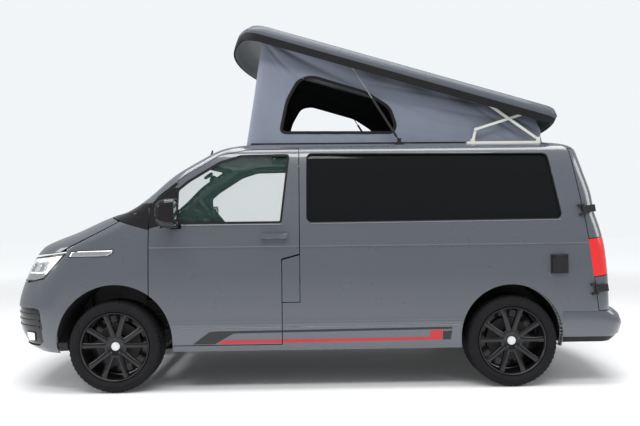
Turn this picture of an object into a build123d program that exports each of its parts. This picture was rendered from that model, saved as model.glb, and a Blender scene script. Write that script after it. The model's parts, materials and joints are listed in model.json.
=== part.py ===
"""Camper van with a lifting roof: hollow body in separate panels, doors, glass, wheels,
steering knuckles, underbody, cab and living furniture, and the roof's linkage.

Millimetres. The nose points to -X, the vehicle's left side to -Y, up is +Z.
The origin is on the ground, half way along the length and on the centre line.
"""

import os
from collections import namedtuple
from math import asin, atan2, cos, degrees, hypot, pi, radians, sin, sqrt

from build123d import *

os.makedirs("parts", exist_ok=True)

# Overall sizes
LENGTH = 4904.0
WHEELBASE = 3000.0
FRONT_OVERHANG = 908.0
HALF_WIDTH = 952.0
HALF_TRACK = 814.0
FRONT_X = -LENGTH / 2
REAR_X = LENGTH / 2
FRONT_AXLE = FRONT_X + FRONT_OVERHANG
REAR_AXLE = FRONT_AXLE + WHEELBASE

# Wheels
TYRE_R = 343.0
TYRE_W = 255.0
RIM_R = 259.0
RIM_BORE_R = 238.0
RIM_W = 226.0
HUB_R = 78.0
SPINDLE_R = 34.0
DISC_R = 168.0
KINGPIN_Y = 730.0
STEER_DEG = 35.0

# Walls, gaps and glass
WALL = 60.0
SKIN = 18.0
BONNET_SKIN = 50.0
GAP = 6.0
SEAT = 0.3
GLASS_OUT = 14.0
GLASS_IN = 20.0
DOOR_LIP = 5.0
DOOR_STEP = 20.0
SIDE_IN = 700.0
REACH = 1300.0
PIN_R = 5.0
EYE_R = 13.0

# Wheel arches: centre and radius in side view
FRONT_ARCH_X = FRONT_AXLE + 6
FRONT_ARCH_Z = 380.0
FRONT_ARCH_R = 430.0
REAR_ARCH_X = REAR_AXLE - 9
REAR_ARCH_Z = 392.0
REAR_ARCH_R = 384.0
LINER_T = 8.0
LINER_OUT_Y = 884.0

# Horizontal cuts through the body, from the sill to the roof. Columns: height, set-back of
# nose, tail and side from the overall sizes, corner radii and bow radii in plan, and the
# share of the wall that an inner cut drops by, so that the roof is closed inside.
Cut = namedtuple("Cut", "z nose tail side nose_r tail_r nose_bow tail_bow drop")
BODY_CUTS = [
    Cut(300, 150, 130, 40, 400, 110, 2600, 3000, 0.0),
    Cut(350, 70, 112, 18, 410, 110, 2600, 3000, 0.0),
    Cut(480, 10, 106, 2, 420, 110, 2600, 3000, 0.0),
    Cut(620, 0, 102, 0, 430, 110, 2600, 3000, 0.0),
    Cut(830, 50, 108, 0, 440, 110, 2600, 3000, 0.0),
    Cut(1000, 130, 122, 2, 450, 110, 2600, 3000, 0.0),
    Cut(1082, 190, 134, 5, 440, 110, 2500, 3000, 0.0),
    Cut(1210, 480, 165, 18, 380, 110, 2400, 3000, 0.0),
    Cut(1330, 752, 200, 38, 300, 110, 2300, 3000, 0.0),
    Cut(1352, 822, 203, 42, 190, 110, 2200, 3000, 0.0),
    Cut(1451, 979, 216, 64, 140, 110, 2200, 3000, 0.0),
    Cut(1640, 1209, 271, 106, 130, 110, 2200, 3000, 0.0),
    Cut(1760, 1412, 307, 140, 120, 110, 2200, 3000, 0.3),
    Cut(1816, 1517, 324, 166, 110, 110, 2200, 3000, 0.5),
    Cut(1850, 1602, 362, 202, 110, 110, 2200, 3000, 0.7),
    Cut(1872, 1707, 422, 248, 110, 110, 2200, 3000, 0.9),
    Cut(1886, 1852, 502, 297, 110, 110, 2200, 3000, 1.0),
]
BUMPER_CUTS = [
    Cut(330, 0, 90, 34, 300, 150, 2600, 3000, 0.0),
    Cut(390, 0, 24, 6, 300, 150, 2600, 3000, 0.0),
    Cut(470, 0, 0, 0, 300, 150, 2600, 3000, 0.0),
    Cut(535, 0, 26, 0, 300, 150, 2600, 3000, 0.0),
    Cut(566, 0, 58, 4, 300, 150, 2600, 3000, 0.0),
]
# The lifting roof, shut: the same columns
SHELL_CUTS = [
    Cut(1795, 1560, 590, 222, 120, 90, 1700, 3000, 0.0),
    Cut(1880, 1556, 552, 212, 130, 100, 1700, 3000, 0.0),
    Cut(1955, 1560, 536, 202, 150, 110, 1700, 3000, 0.0),
    Cut(2005, 1610, 560, 236, 180, 130, 1700, 3000, 0.6),
    Cut(2032, 1760, 640, 330, 220, 150, 1700, 3000, 1.0),
]
TENT_CUTS = [
    Cut(1866, 1872, 612, 315, 60, 60, 60000, 60000, 0.0),
    Cut(2900, 2030, 640, 315, 60, 60, 60000, 60000, 0.0),
]


def mirrored(points):
    return [(x, -y) for x, y in points]


def plan_outline(cut, inset):
    """One closed plan curve: bowed nose and tail, straight sides, tangent corner arcs."""
    half = HALF_WIDTH - cut.side - inset
    nose = FRONT_X + cut.nose + inset
    tail = REAR_X - cut.tail - inset
    nose_r = cut.nose_r - 0.6 * inset
    tail_r = cut.tail_r - 0.6 * inset
    nose_run = sqrt((cut.nose_bow - nose_r) ** 2 - (half - nose_r) ** 2)
    tail_run = sqrt((cut.tail_bow - tail_r) ** 2 - (half - tail_r) ** 2)
    nose_side = nose + cut.nose_bow - nose_run
    tail_side = tail - cut.tail_bow + tail_run
    nose_turn = atan2(half - nose_r, nose_run)
    tail_turn = atan2(half - tail_r, tail_run)
    nose_mid = (nose_turn + pi / 2) / 2
    tail_mid = (tail_turn + pi / 2) / 2
    right = [
        (nose + cut.nose_bow * (1 - cos(nose_turn)), cut.nose_bow * sin(nose_turn)),
        (nose_side - nose_r * cos(nose_mid), half - nose_r + nose_r * sin(nose_mid)),
        (nose_side, half),
        (tail_side, half),
        (tail_side + tail_r * cos(tail_mid), half - tail_r + tail_r * sin(tail_mid)),
        (tail - cut.tail_bow * (1 - cos(tail_turn)), cut.tail_bow * sin(tail_turn)),
    ]
    left = mirrored(right)
    ThreePointArc(left[0], (nose, 0), right[0])
    ThreePointArc(right[0], right[1], right[2])
    Line(right[2], right[3])
    ThreePointArc(right[3], right[4], right[5])
    ThreePointArc(right[5], (tail, 0), left[5])
    ThreePointArc(left[5], left[4], left[3])
    Line(left[3], left[2])
    ThreePointArc(left[2], left[1], left[0])


def form(cuts, inset):
    """The solid through a table of cuts, with every cut drawn in by inset."""
    with BuildPart() as solid:
        for cut in cuts:
            with BuildSketch(Plane.XY.offset(cut.z - inset * cut.drop)):
                with BuildLine():
                    plan_outline(cut, inset)
                make_face()
        loft(ruled=True)
    return solid.part


def wall(cuts, outside, inside):
    """The hollow form between two insets."""
    with BuildPart() as solid:
        add(form(cuts, outside))
        add(form(cuts, inside), mode=Mode.SUBTRACT)
    return solid.part


def side_prism(points, mode=Mode.INTERSECT, start=SIDE_IN, reach=REACH, round_r=0.0, grow=0.0):
    """A prism over a side-view outline, on the vehicle's left."""
    with BuildSketch(Plane.XZ.offset(start)) as outline:
        with BuildLine():
            Polyline(*points, close=True)
        make_face()
        if round_r:
            fillet(outline.vertices(), round_r)
        if grow:
            offset(amount=grow)
    extrude(outline.sketch, amount=reach, mode=mode)


def cross_prism(points, mode=Mode.INTERSECT):
    """A prism over a side-view outline, through both sides."""
    with BuildSketch(Plane.XZ.offset(-REACH)) as outline:
        with BuildLine():
            Polyline(*points, close=True)
        make_face()
    extrude(outline.sketch, amount=2 * REACH, mode=mode)


def end_prism(points, start, length, mode=Mode.INTERSECT, round_r=0.0, grow=0.0):
    """A prism along X over a front-view outline."""
    with BuildSketch(Plane.YZ.offset(start)) as outline:
        with BuildLine():
            Polyline(*points, close=True)
        make_face()
        if round_r:
            fillet(outline.vertices(), round_r)
        if grow:
            offset(amount=grow)
    extrude(outline.sketch, amount=length, mode=mode)


def block(low, high, mode=Mode.ADD):
    """A box between two corners."""
    centre = [(a + b) / 2 for a, b in zip(low, high)]
    with Locations(tuple(centre)):
        Box(*(abs(b - a) for a, b in zip(low, high)), mode=mode)


def rod_y(x, z, y_from, y_to, radius, mode=Mode.ADD):
    """A round bar along Y."""
    with Locations(Location((x, (y_from + y_to) / 2, z), (90, 0, 0))):
        Cylinder(radius, abs(y_to - y_from), mode=mode)


def rod_z(x, y, z_from, z_to, radius, mode=Mode.ADD):
    """A round bar along Z."""
    with Locations((x, y, (z_from + z_to) / 2)):
        Cylinder(radius, abs(z_to - z_from), mode=mode)


def arch_cut(x, z, radius, mode=Mode.SUBTRACT):
    """A wheel arch through both sides."""
    rod_y(x, z, -REACH, REACH, radius, mode)


def bearing(start, end):
    return atan2(end[1] - start[1], end[0] - start[0])


def flat_bar(start, end, lane, width, side, hole_start, hole_end):
    """A flat bar between two pivots, round at both ends, in one lane."""
    length = hypot(end[0] - start[0], end[1] - start[1])
    middle = ((start[0] + end[0]) / 2, side * (lane[0] + lane[1]) / 2, (start[1] + end[1]) / 2)
    tilt = -degrees(bearing(start, end))
    with Locations(Location(middle, (0, tilt, 0))):
        Box(length, lane[1] - lane[0], width)
    for point in (start, end):
        rod_y(point[0], point[1], side * lane[0], side * lane[1], EYE_R)
    for point, hole in ((start, hole_start), (end, hole_end)):
        if hole:
            rod_y(point[0], point[1], side * (lane[0] - 4), side * (lane[1] + 4), hole, Mode.SUBTRACT)


def flipped(part):
    return mirror(part, about=Plane.XZ)


def save(part, name):
    part.label = name
    export_step(part, "parts/" + name + ".step")


BODY = form(BODY_CUTS, 0)
WALL_BAND = wall(BODY_CUTS, 0, WALL)
SKIN_BAND = wall(BODY_CUTS, 0, SKIN)
GLASS_BAND = wall(BODY_CUTS, GLASS_OUT, GLASS_IN)
INSIDE = form(BODY_CUTS, WALL + SEAT)
INSIDE_SKIN = form(BODY_CUTS, SKIN + SEAT)
CLEAR_INSIDE = form(BODY_CUTS, WALL + 8)

# Side-view lines of the front end
BONNET_NOSE_Z = 1011.0
BONNET_LINE = [(-2600, BONNET_NOSE_Z), (-2232, 1023), (-1948, 1060), (-1513, 1284)]
WING_TOP = [(-1892, 1078), (-1506, 1281), (-1385, 1243), (-1287, 1215)]
COWL_FRONT = (-1672, 1348)
# The bonnet hangs on two goosenecks whose pins sit under the cowl
BONNET_REAR = [(-1683, 1), (-1645, 500), (-1612, 700), (-1585, 800), (-1541, 870), (-1500, 920)]
BONNET_REAR += [(-1300, 920), (-1300, 1)]
BONNET_AXIS = (-1506.0, 1300.0)
BONNET_NECK = [(-1722, 1283), (-1619, 1164), (-1515, 1208)]
BONNET_LANE = (446.0, 454.0)
DOOR_FRONT = -1280.0
DOOR_REAR = -155.0
DOOR_TOP = [(DOOR_FRONT, 1385), (-1217, 1470), (-1000, 1640), (-760, 1783), (-560, 1825), (DOOR_REAR, 1836)]
SILL_TOP = 350.0
FLAP_FRONT = -290.0
FLAP_LOW = 660.0
FLAP_TOP = 985.0
FLAP_REAR_TOP = 1020.0
ROOF_LINE = 1842.0

# The rear doors' shut line leans forward going up; the hinge line is parallel to it
SHUT_LOW = (2112.0, 565.0)
SHUT_HIGH = (1962.0, 1830.0)
LEAN = (SHUT_HIGH[0] - SHUT_LOW[0]) / (SHUT_HIGH[1] - SHUT_LOW[1])
TILT = atan2(-LEAN, 1.0)


def shut_x(z):
    return SHUT_LOW[0] + LEAN * (z - SHUT_LOW[1])


def square_off(z, run):
    """A point run mm behind the shut line, square to it."""
    return (shut_x(z) + run * cos(TILT), z + run * sin(TILT))


REAR_DOOR_LOW = 572.0
REAR_DOOR_TOP = 1818.0
LAMP_LOW = 828.0
LAMP_TOP = 1110.0
LAMP_IN_Y = 800.0
BUMPER_FRONT = REAR_ARCH_X + REAR_ARCH_R + 3
BUMPER_TOP = BUMPER_CUTS[-1].z

# Roof frame: pillars beside the windscreen, header, roof rim and rear header
SCREEN = [(-790, 1372), (790, 1372), (660, 1800), (-660, 1800)]
APERTURE_FRONT = -430.0
APERTURE_REAR = 1690.0
APERTURE_HALF = 540.0
roof_line = [(x, z + GAP) for x, z in DOOR_TOP[1:]]
with BuildPart() as roof_frame:
    add(WALL_BAND)
    cross_prism(
        [COWL_FRONT, (-1500, 1287), WING_TOP[2], (DOOR_FRONT - GAP - 1, 1385)]
        + roof_line
        + [
            (shut_x(ROOF_LINE), ROOF_LINE),
            square_off(REAR_DOOR_TOP + GAP, 0),
            square_off(REAR_DOOR_TOP + GAP, 560),
            (2600, 2100),
            (-1750, 2100),
        ]
    )
    end_prism(SCREEN, -2100, 1600, Mode.SUBTRACT, 60)
    with BuildSketch(Plane.XY.offset(1700)) as aperture:
        with Locations(((APERTURE_FRONT + APERTURE_REAR) / 2, 0)):
            RectangleRounded(APERTURE_REAR - APERTURE_FRONT, 2 * APERTURE_HALF, 90)
    extrude(amount=300, mode=Mode.SUBTRACT)
    for side in (-1, 1):
        block(
            (BONNET_AXIS[0] - 16, side * (BONNET_LANE[1] + 2), BONNET_AXIS[1] - 14),
            (BONNET_AXIS[0] + 16, side * (BONNET_LANE[1] + 10), BONNET_AXIS[1] + 68),
        )
        pin_from, pin_to = side * (BONNET_LANE[0] - 3), side * (BONNET_LANE[1] + 10)
        rod_y(BONNET_AXIS[0], BONNET_AXIS[1], pin_from, pin_to, PIN_R)
save(roof_frame.part, "roof_frame")

with BuildPart() as windscreen:
    add(GLASS_BAND)
    end_prism(SCREEN, -2100, 1600, Mode.INTERSECT, 60, -SEAT)
save(windscreen.part, "windscreen")

# Left body side: sill, rear quarter and the panel behind the front door
SIDE_WINDOW = [(-100, 1258), (1856, 1268), (1786, 1786), (-95, 1798)]
side_outline = [
    (DOOR_REAR + GAP, ROOF_LINE),
    (DOOR_REAR + GAP, FLAP_LOW),
    (FLAP_FRONT + GAP, FLAP_LOW),
    (FLAP_FRONT + GAP, SILL_TOP - GAP),
    (FRONT_ARCH_X + FRONT_ARCH_R, SILL_TOP - GAP),
    (FRONT_ARCH_X + FRONT_ARCH_R, 290),
    (BUMPER_FRONT, 290),
    (BUMPER_FRONT, BUMPER_TOP),
    (shut_x(BUMPER_TOP) - GAP, BUMPER_TOP),
    (shut_x(ROOF_LINE) - GAP, ROOF_LINE),
]
FLAP = [
    (FLAP_FRONT + GAP, FLAP_LOW + GAP),
    (DOOR_REAR, FLAP_LOW + GAP),
    (DOOR_REAR, FLAP_REAR_TOP - GAP),
    (FLAP_FRONT + GAP, FLAP_TOP - GAP),
]
FLAP_SKIN = 5.0
FLAP_AXIS_X = DOOR_REAR + 25
FLAP_AXIS_Y = HALF_WIDTH - 24
FLAP_ARM_IN = 23.0
FLAP_ARM_Z = (800.0, 840.0)
FLAP_PIN_R = 4.0
POCKET_DEPTH = 52.0
JOG = [
    (FLAP_FRONT + GAP, FLAP_LOW),
    (DOOR_REAR + GAP, FLAP_LOW),
    (DOOR_REAR + GAP, FLAP_REAR_TOP - GAP),
    (FLAP_FRONT + GAP, FLAP_TOP - GAP),
]
with BuildPart() as body_side:
    add(WALL_BAND)
    side_prism(side_outline)
    arch_cut(REAR_ARCH_X, REAR_ARCH_Z, REAR_ARCH_R)
with BuildPart() as body_side_left:
    add(body_side.part)
    side_prism(SIDE_WINDOW, Mode.SUBTRACT, round_r=45)
    with BuildPart(mode=Mode.SUBTRACT):
        add(wall(BODY_CUTS, 10, POCKET_DEPTH))
        side_prism([(DOOR_REAR, 770), (DOOR_REAR + 48, 770), (DOOR_REAR + 48, 870), (DOOR_REAR, 870)])
    rod_z(FLAP_AXIS_X, -FLAP_AXIS_Y, 760, 880, FLAP_PIN_R)
    with BuildPart():
        add(wall(BODY_CUTS, POCKET_DEPTH, WALL))
        side_prism(JOG)
    rod_y(-232, 780, -HALF_WIDTH + 22, -HALF_WIDTH + 56, 28)
save(body_side_left.part, "body_side_left")

with BuildPart() as side_glass_left:
    add(GLASS_BAND)
    side_prism(SIDE_WINDOW, Mode.INTERSECT, round_r=45, grow=-SEAT)

with BuildPart() as fuel_flap:
    add(wall(BODY_CUTS, 0, FLAP_SKIN))
    side_prism(FLAP)
    block(
        (FLAP_AXIS_X - 60, -FLAP_AXIS_Y + FLAP_ARM_IN - 5, FLAP_ARM_Z[0]),
        (FLAP_AXIS_X + 7, -FLAP_AXIS_Y + FLAP_ARM_IN, FLAP_ARM_Z[1]),
    )
    block(
        (FLAP_AXIS_X - 60, -HALF_WIDTH + 2, FLAP_ARM_Z[0]),
        (FLAP_AXIS_X - 55, -FLAP_AXIS_Y + FLAP_ARM_IN, FLAP_ARM_Z[1]),
    )
    block(
        (FLAP_AXIS_X - 7, -FLAP_AXIS_Y, FLAP_ARM_Z[0]),
        (FLAP_AXIS_X + 7, -FLAP_AXIS_Y + FLAP_ARM_IN, FLAP_ARM_Z[1]),
    )
    rod_z(FLAP_AXIS_X, -FLAP_AXIS_Y, FLAP_ARM_Z[0], FLAP_ARM_Z[1], 7)
    rod_z(FLAP_AXIS_X, -FLAP_AXIS_Y, 700, 940, FLAP_PIN_R + 0.4, Mode.SUBTRACT)
save(fuel_flap.part, "fuel_flap")
# Right body side with the sliding door's opening
SLIDER = [(-140, SILL_TOP), (955, SILL_TOP), (955, 1832), (-140, 1832)]
SLIDER_WINDOW = [(-70, 1260), (885, 1264), (885, 1796), (-65, 1798)]
REAR_QUARTER_WINDOW = [(1020, 1264), (1856, 1268), (1786, 1786), (1020, 1794)]
with BuildPart() as body_side_right:
    add(body_side.part)
    side_prism(SLIDER, Mode.SUBTRACT, round_r=30, grow=SEAT)
    side_prism(REAR_QUARTER_WINDOW, Mode.SUBTRACT, round_r=45)
    with BuildPart():
        add(WALL_BAND)
        side_prism([(x, z - 1) if z == FLAP_LOW else (x, z) for x, z in JOG])
save(flipped(body_side_right.part), "body_side_right")

with BuildPart() as sliding_door:
    add(WALL_BAND)
    side_prism(SLIDER, Mode.INTERSECT, round_r=30)
    side_prism(SLIDER_WINDOW, Mode.SUBTRACT, round_r=45)
save(flipped(sliding_door.part), "sliding_door")

with BuildPart() as side_glass_right:
    add(GLASS_BAND)
    side_prism(REAR_QUARTER_WINDOW, Mode.INTERSECT, round_r=45, grow=-SEAT)
with BuildPart() as sliding_door_glass:
    add(GLASS_BAND)
    side_prism(SLIDER_WINDOW, Mode.INTERSECT, round_r=45, grow=-SEAT)
with BuildPart() as side_glass:
    add(side_glass_left.part)
    add(flipped(side_glass_right.part))
    add(flipped(sliding_door_glass.part))
save(side_glass.part, "side_glass")

# Front doors. The inner layers stand back from the edges so that the door swings clear.
DOOR_AXIS_X = DOOR_FRONT - 34
DOOR_AXIS_Y = HALF_WIDTH - 36
HINGE_Z = (840.0, 1040.0)
HINGE_PIN_R = 7.0
HINGE_LUG_R = 12.0
door_outline = (
    DOOR_TOP
    + [(DOOR_REAR, FLAP_REAR_TOP + GAP), (FLAP_FRONT, FLAP_TOP + GAP), (FLAP_FRONT, SILL_TOP)]
    + [(FRONT_ARCH_X + FRONT_ARCH_R - 60, SILL_TOP), (DOOR_FRONT, 500)]
)
DOOR_WINDOW = [
    (-285, 1256),
    (-222, 1794),
    (-600, 1788),
    (-760, 1738),
    (-1000, 1590),
    (-1085, 1520),
    (-1085, 1256),
]
HANDLE_X = (-440.0, -240.0)
HANDLE_Z = (1142.0, 1180.0)
HANDLE_OUT = 32.0


def door_handle(x_from, x_to):
    """A pull handle on two feet, on the left side of the body."""
    with BuildPart() as handle:
        block((x_from, -HALF_WIDTH - HANDLE_OUT + 10, HANDLE_Z[0]), (x_to, -HALF_WIDTH - 6, HANDLE_Z[1]))
        fillet(handle.edges().filter_by(Axis.Y), 12)
        for x in (x_from + 4, x_to - 34):
            block((x, -HALF_WIDTH - 10, HANDLE_Z[0] + 4), (x + 30, -HALF_WIDTH + 30, HANDLE_Z[1] - 4))
    return handle.part


with BuildPart() as door_left:
    add(WALL_BAND)
    side_prism(door_outline)
    arch_cut(FRONT_ARCH_X, FRONT_ARCH_Z, FRONT_ARCH_R)
    side_prism(DOOR_WINDOW, Mode.SUBTRACT, round_r=28)
    with BuildPart(mode=Mode.SUBTRACT):
        add(form(BODY_CUTS, DOOR_LIP))
        front_from, front_to = DOOR_FRONT - 40, DOOR_FRONT + 28
        side_prism([(front_from, 300), (front_to, 300), (front_to, 1600), (front_from, 1600)])
    with BuildPart(mode=Mode.SUBTRACT):
        add(form(BODY_CUTS, DOOR_STEP))
        rear_from, rear_to = DOOR_REAR - 30, DOOR_REAR + 40
        side_prism([(rear_from, 300), (rear_to, 300), (rear_to, 1900), (rear_from, 1900)])
    for hinge_z in HINGE_Z:
        block(
            (DOOR_AXIS_X, -DOOR_AXIS_Y + 20, hinge_z - 20),
            (DOOR_FRONT + 40, -DOOR_AXIS_Y + 30, hinge_z + 20),
        )
        block(
            (DOOR_AXIS_X - HINGE_LUG_R, -DOOR_AXIS_Y, hinge_z - 20),
            (DOOR_AXIS_X + HINGE_LUG_R, -DOOR_AXIS_Y + 30, hinge_z + 20),
        )
        rod_z(DOOR_AXIS_X, -DOOR_AXIS_Y, hinge_z - 20, hinge_z + 20, HINGE_LUG_R)
        rod_z(DOOR_AXIS_X, -DOOR_AXIS_Y, hinge_z - 40, hinge_z + 40, HINGE_PIN_R + 0.5, Mode.SUBTRACT)
    add(door_handle(*HANDLE_X))
save(door_left.part, "door_left")
save(flipped(door_left.part), "door_right")

with BuildPart() as door_glass_left:
    add(GLASS_BAND)
    side_prism(DOOR_WINDOW, Mode.INTERSECT, round_r=28, grow=-SEAT)
save(door_glass_left.part, "door_glass_left")
save(flipped(door_glass_left.part), "door_glass_right")

MIRROR_Y = 1066.5
MIRROR_Z = 1337.0
MirrorCut = namedtuple("MirrorCut", "x width height corner")
MIRROR_CUTS = [
    MirrorCut(-1052, 163, 215, 44),
    MirrorCut(-1120, 161, 212, 52),
    MirrorCut(-1162, 142, 188, 56),
    MirrorCut(-1188, 104, 146, 46),
    MirrorCut(-1198, 66, 100, 30),
]
MIRROR_FOOT_X = (-1150.0, -1076.0)
with BuildPart() as mirror_left:
    for cut in MIRROR_CUTS:
        with BuildSketch(Plane.YZ.offset(cut.x)):
            with Locations((-MIRROR_Y, MIRROR_Z)):
                RectangleRounded(cut.width, cut.height, cut.corner)
    loft(ruled=True)
    with BuildSketch(Plane.YZ.offset(MIRROR_CUTS[0].x)):
        with Locations((-MIRROR_Y, MIRROR_Z)):
            RectangleRounded(MIRROR_CUTS[0].width - 24, MIRROR_CUTS[0].height - 24, 34)
    extrude(amount=-9, mode=Mode.SUBTRACT)
    block((MIRROR_FOOT_X[0], -MIRROR_Y, MIRROR_Z - 98), (MIRROR_FOOT_X[1], -HALF_WIDTH + 60, MIRROR_Z - 58))
    add(BODY, mode=Mode.SUBTRACT)
save(mirror_left.part, "mirror_left")
save(flipped(mirror_left.part), "mirror_right")

# Front wings, with the fixed black corner ahead of each door glass
HEADLAMP = [(-2600, 1004), (-2232, 1014), (-1892, 1050), (-2066, 856), (-2257, 818), (-2600, 818)]
WING_FOOT = (-1868, 690)
LAMP_SIDE_Y = 500.0
wing_outline = WING_TOP + [
    (DOOR_FRONT - GAP - 1, 500),
    (WING_FOOT[0], 500),
    WING_FOOT,
    HEADLAMP[3],
    HEADLAMP[2],
]
with BuildPart() as wing_left:
    add(SKIN_BAND)
    side_prism(wing_outline, start=LAMP_SIDE_Y)
    arch_cut(FRONT_ARCH_X, FRONT_ARCH_Z, FRONT_ARCH_R)
with BuildPart() as front_wings:
    add(wing_left.part)
    add(flipped(wing_left.part))
save(front_wings.part, "front_wings")

with BuildPart() as corner_left:
    add(WALL_BAND)
    side_prism([WING_TOP[2], WING_TOP[3], (WING_TOP[3][0], 1385)])
with BuildPart() as corner_trims:
    add(corner_left.part)
    add(flipped(corner_left.part))
save(corner_trims.part, "corner_trims")

with BuildPart() as lamp_left:
    add(WALL_BAND)
    side_prism(HEADLAMP, start=LAMP_SIDE_Y)
with BuildPart() as headlamps:
    add(lamp_left.part)
    add(flipped(lamp_left.part))
save(headlamps.part, "headlamps")

with BuildPart() as bonnet:
    add(wall(BODY_CUTS, 0, BONNET_SKIN))
    cross_prism(BONNET_LINE + [(COWL_FRONT[0] - 11, COWL_FRONT[1] - 4), (-1760, 1500), (-2600, 1500)])
    with BuildSketch(Plane.XY.offset(1000)) as behind:
        Polygon(*BONNET_REAR, *mirrored(BONNET_REAR)[::-1], align=None)
    extrude(amount=500, mode=Mode.SUBTRACT)
    for side in (-1, 1):
        for start, end, hole in (
            (BONNET_NECK[0], BONNET_NECK[1], 0),
            (BONNET_NECK[1], BONNET_NECK[2], 0),
            (BONNET_NECK[2], BONNET_AXIS, PIN_R + 0.4),
        ):
            flat_bar(start, end, BONNET_LANE, 22, side, 0, hole)
save(bonnet.part, "bonnet")

# Front bumper with its openings, and the black grilles that fill them
bumper_outline = [(-2600, 250), (-1940, 250), (-1940, 600), WING_FOOT]
bumper_outline += [HEADLAMP[3], HEADLAMP[4], (-2600, 818)]
INTAKE = [(-520, 430), (520, 430), (560, 560), (-560, 560)]
CORNER_INTAKE = [(-880, 352), (-640, 352), (-610, 636), (-928, 640), (-934, 490), (-912, 388)]
GRILLE_BARS = [(836, 856), (884, 904), (932, 952), (976, 992)]
INTAKE_BARS = [(448, 462), (488, 502), (528, 542)]
with BuildPart() as front_bumper:
    add(SKIN_BAND)
    cross_prism(bumper_outline)
    arch_cut(FRONT_ARCH_X, FRONT_ARCH_Z, FRONT_ARCH_R)
    for opening in (INTAKE, CORNER_INTAKE, [(-y, z) for y, z in CORNER_INTAKE]):
        end_prism(opening, -2600, 560, Mode.SUBTRACT, 24)
save(front_bumper.part, "front_bumper")

with BuildPart() as grille:
    with BuildPart():
        add(SKIN_BAND)
        end_prism(
            [(-LAMP_SIDE_Y, 818), (LAMP_SIDE_Y, 818), (LAMP_SIDE_Y, 1004), (-LAMP_SIDE_Y, 1004)], -2600, 560
        )
    for opening in (INTAKE, CORNER_INTAKE, [(-y, z) for y, z in CORNER_INTAKE]):
        with BuildPart():
            add(wall(BODY_CUTS, 10, SKIN))
            end_prism(opening, -2600, 560, Mode.INTERSECT, 24, -SEAT)
    for bars, half_width, proud, root in ((GRILLE_BARS, 488, -7, 6), (INTAKE_BARS, 500, 2, 14)):
        with BuildPart():
            add(wall(BODY_CUTS, proud, root))
            with BuildPart(mode=Mode.INTERSECT):
                for low, high in bars:
                    block((-2600, -half_width, low), (-2200, half_width, high))
save(grille.part, "grille")

# Front structure: bulkhead, hinge posts, rails, cross beam and the door and bonnet hinge pins
BULKHEAD_X = -1250.0
BULKHEAD_LOW = 440.0
RAIL_IN = 430.0
RAIL_OUT = 480.0
HOUSING_IN = 486.0
REAR_HOUSING_IN = 580.0
FRONT_HOUSING_R = FRONT_ARCH_R + 6
POST_TOP = 1150.0
with BuildPart() as front_structure:
    with BuildPart():
        block((BULKHEAD_X, -HALF_WIDTH, BULKHEAD_LOW), (BULKHEAD_X + 25, HALF_WIDTH, 1200))
        add(CLEAR_INSIDE, mode=Mode.INTERSECT)
    for side in (-1, 1):
        block((-2300, side * RAIL_IN, 420), (BULKHEAD_X, side * RAIL_OUT, 520))
        with BuildPart():
            block((-1890, side * 800, 960), (BULKHEAD_X, side * HALF_WIDTH, 1010))
            add(INSIDE_SKIN, mode=Mode.INTERSECT)
            block(
                (DOOR_AXIS_X - 60, side * (DOOR_AXIS_Y - 50), 900),
                (BULKHEAD_X, side * HALF_WIDTH, 1100),
                Mode.SUBTRACT,
            )
        with BuildPart():
            block((DOOR_AXIS_X - 70, side * 800, 740), (BULKHEAD_X, side * (DOOR_AXIS_Y - 36), POST_TOP))
            add(CLEAR_INSIDE, mode=Mode.INTERSECT)
        for hinge_z in HINGE_Z:
            rod_z(DOOR_AXIS_X, side * DOOR_AXIS_Y, hinge_z - 34, hinge_z + 34, HINGE_PIN_R)
            for end in (-1, 1):
                block(
                    (DOOR_AXIS_X - 10, side * (DOOR_AXIS_Y - 50), hinge_z + end * 21),
                    (DOOR_AXIS_X + 10, side * (DOOR_AXIS_Y + 10), hinge_z + end * 34),
                )
        block((-1890, side * RAIL_IN, 960), (-1860, side * 820, 1010))
        block((-1890, side * RAIL_IN, 500), (-1860, side * RAIL_OUT, 1010))
        block((-2350, side * RAIL_IN, 480), (-2290, side * RAIL_OUT, 690))
    with BuildPart():
        block((-2500, -700, 600), (-2200, 700, 680))
        add(INSIDE_SKIN, mode=Mode.INTERSECT)
        block((-2300, -640, 590), (-2100, 640, 690), Mode.SUBTRACT)
    for side in (-1, 1):
        rod_y(
            FRONT_ARCH_X,
            FRONT_ARCH_Z,
            side * (HOUSING_IN - 2),
            side * REACH,
            FRONT_HOUSING_R + LINER_T + SEAT,
            Mode.SUBTRACT,
        )
save(front_structure.part, "front_structure")

# Rear doors, hung at the sides on outside hinges
REAR_SPLIT = 3.0
REAR_WINDOW = [(-770, 1190), (-70, 1190), (-70, 1715), (-690, 1715)]
lamp_outline = [
    square_off(LAMP_LOW, -GAP * cos(TILT)),
    square_off(LAMP_LOW, 420),
    square_off(LAMP_TOP, 420),
    square_off(LAMP_TOP, -GAP * cos(TILT)),
]
lamp_clear = [
    square_off(LAMP_LOW - GAP, -40),
    square_off(LAMP_LOW - GAP, 420),
    square_off(LAMP_TOP + GAP, 420),
    square_off(LAMP_TOP + GAP, -40),
]
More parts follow.
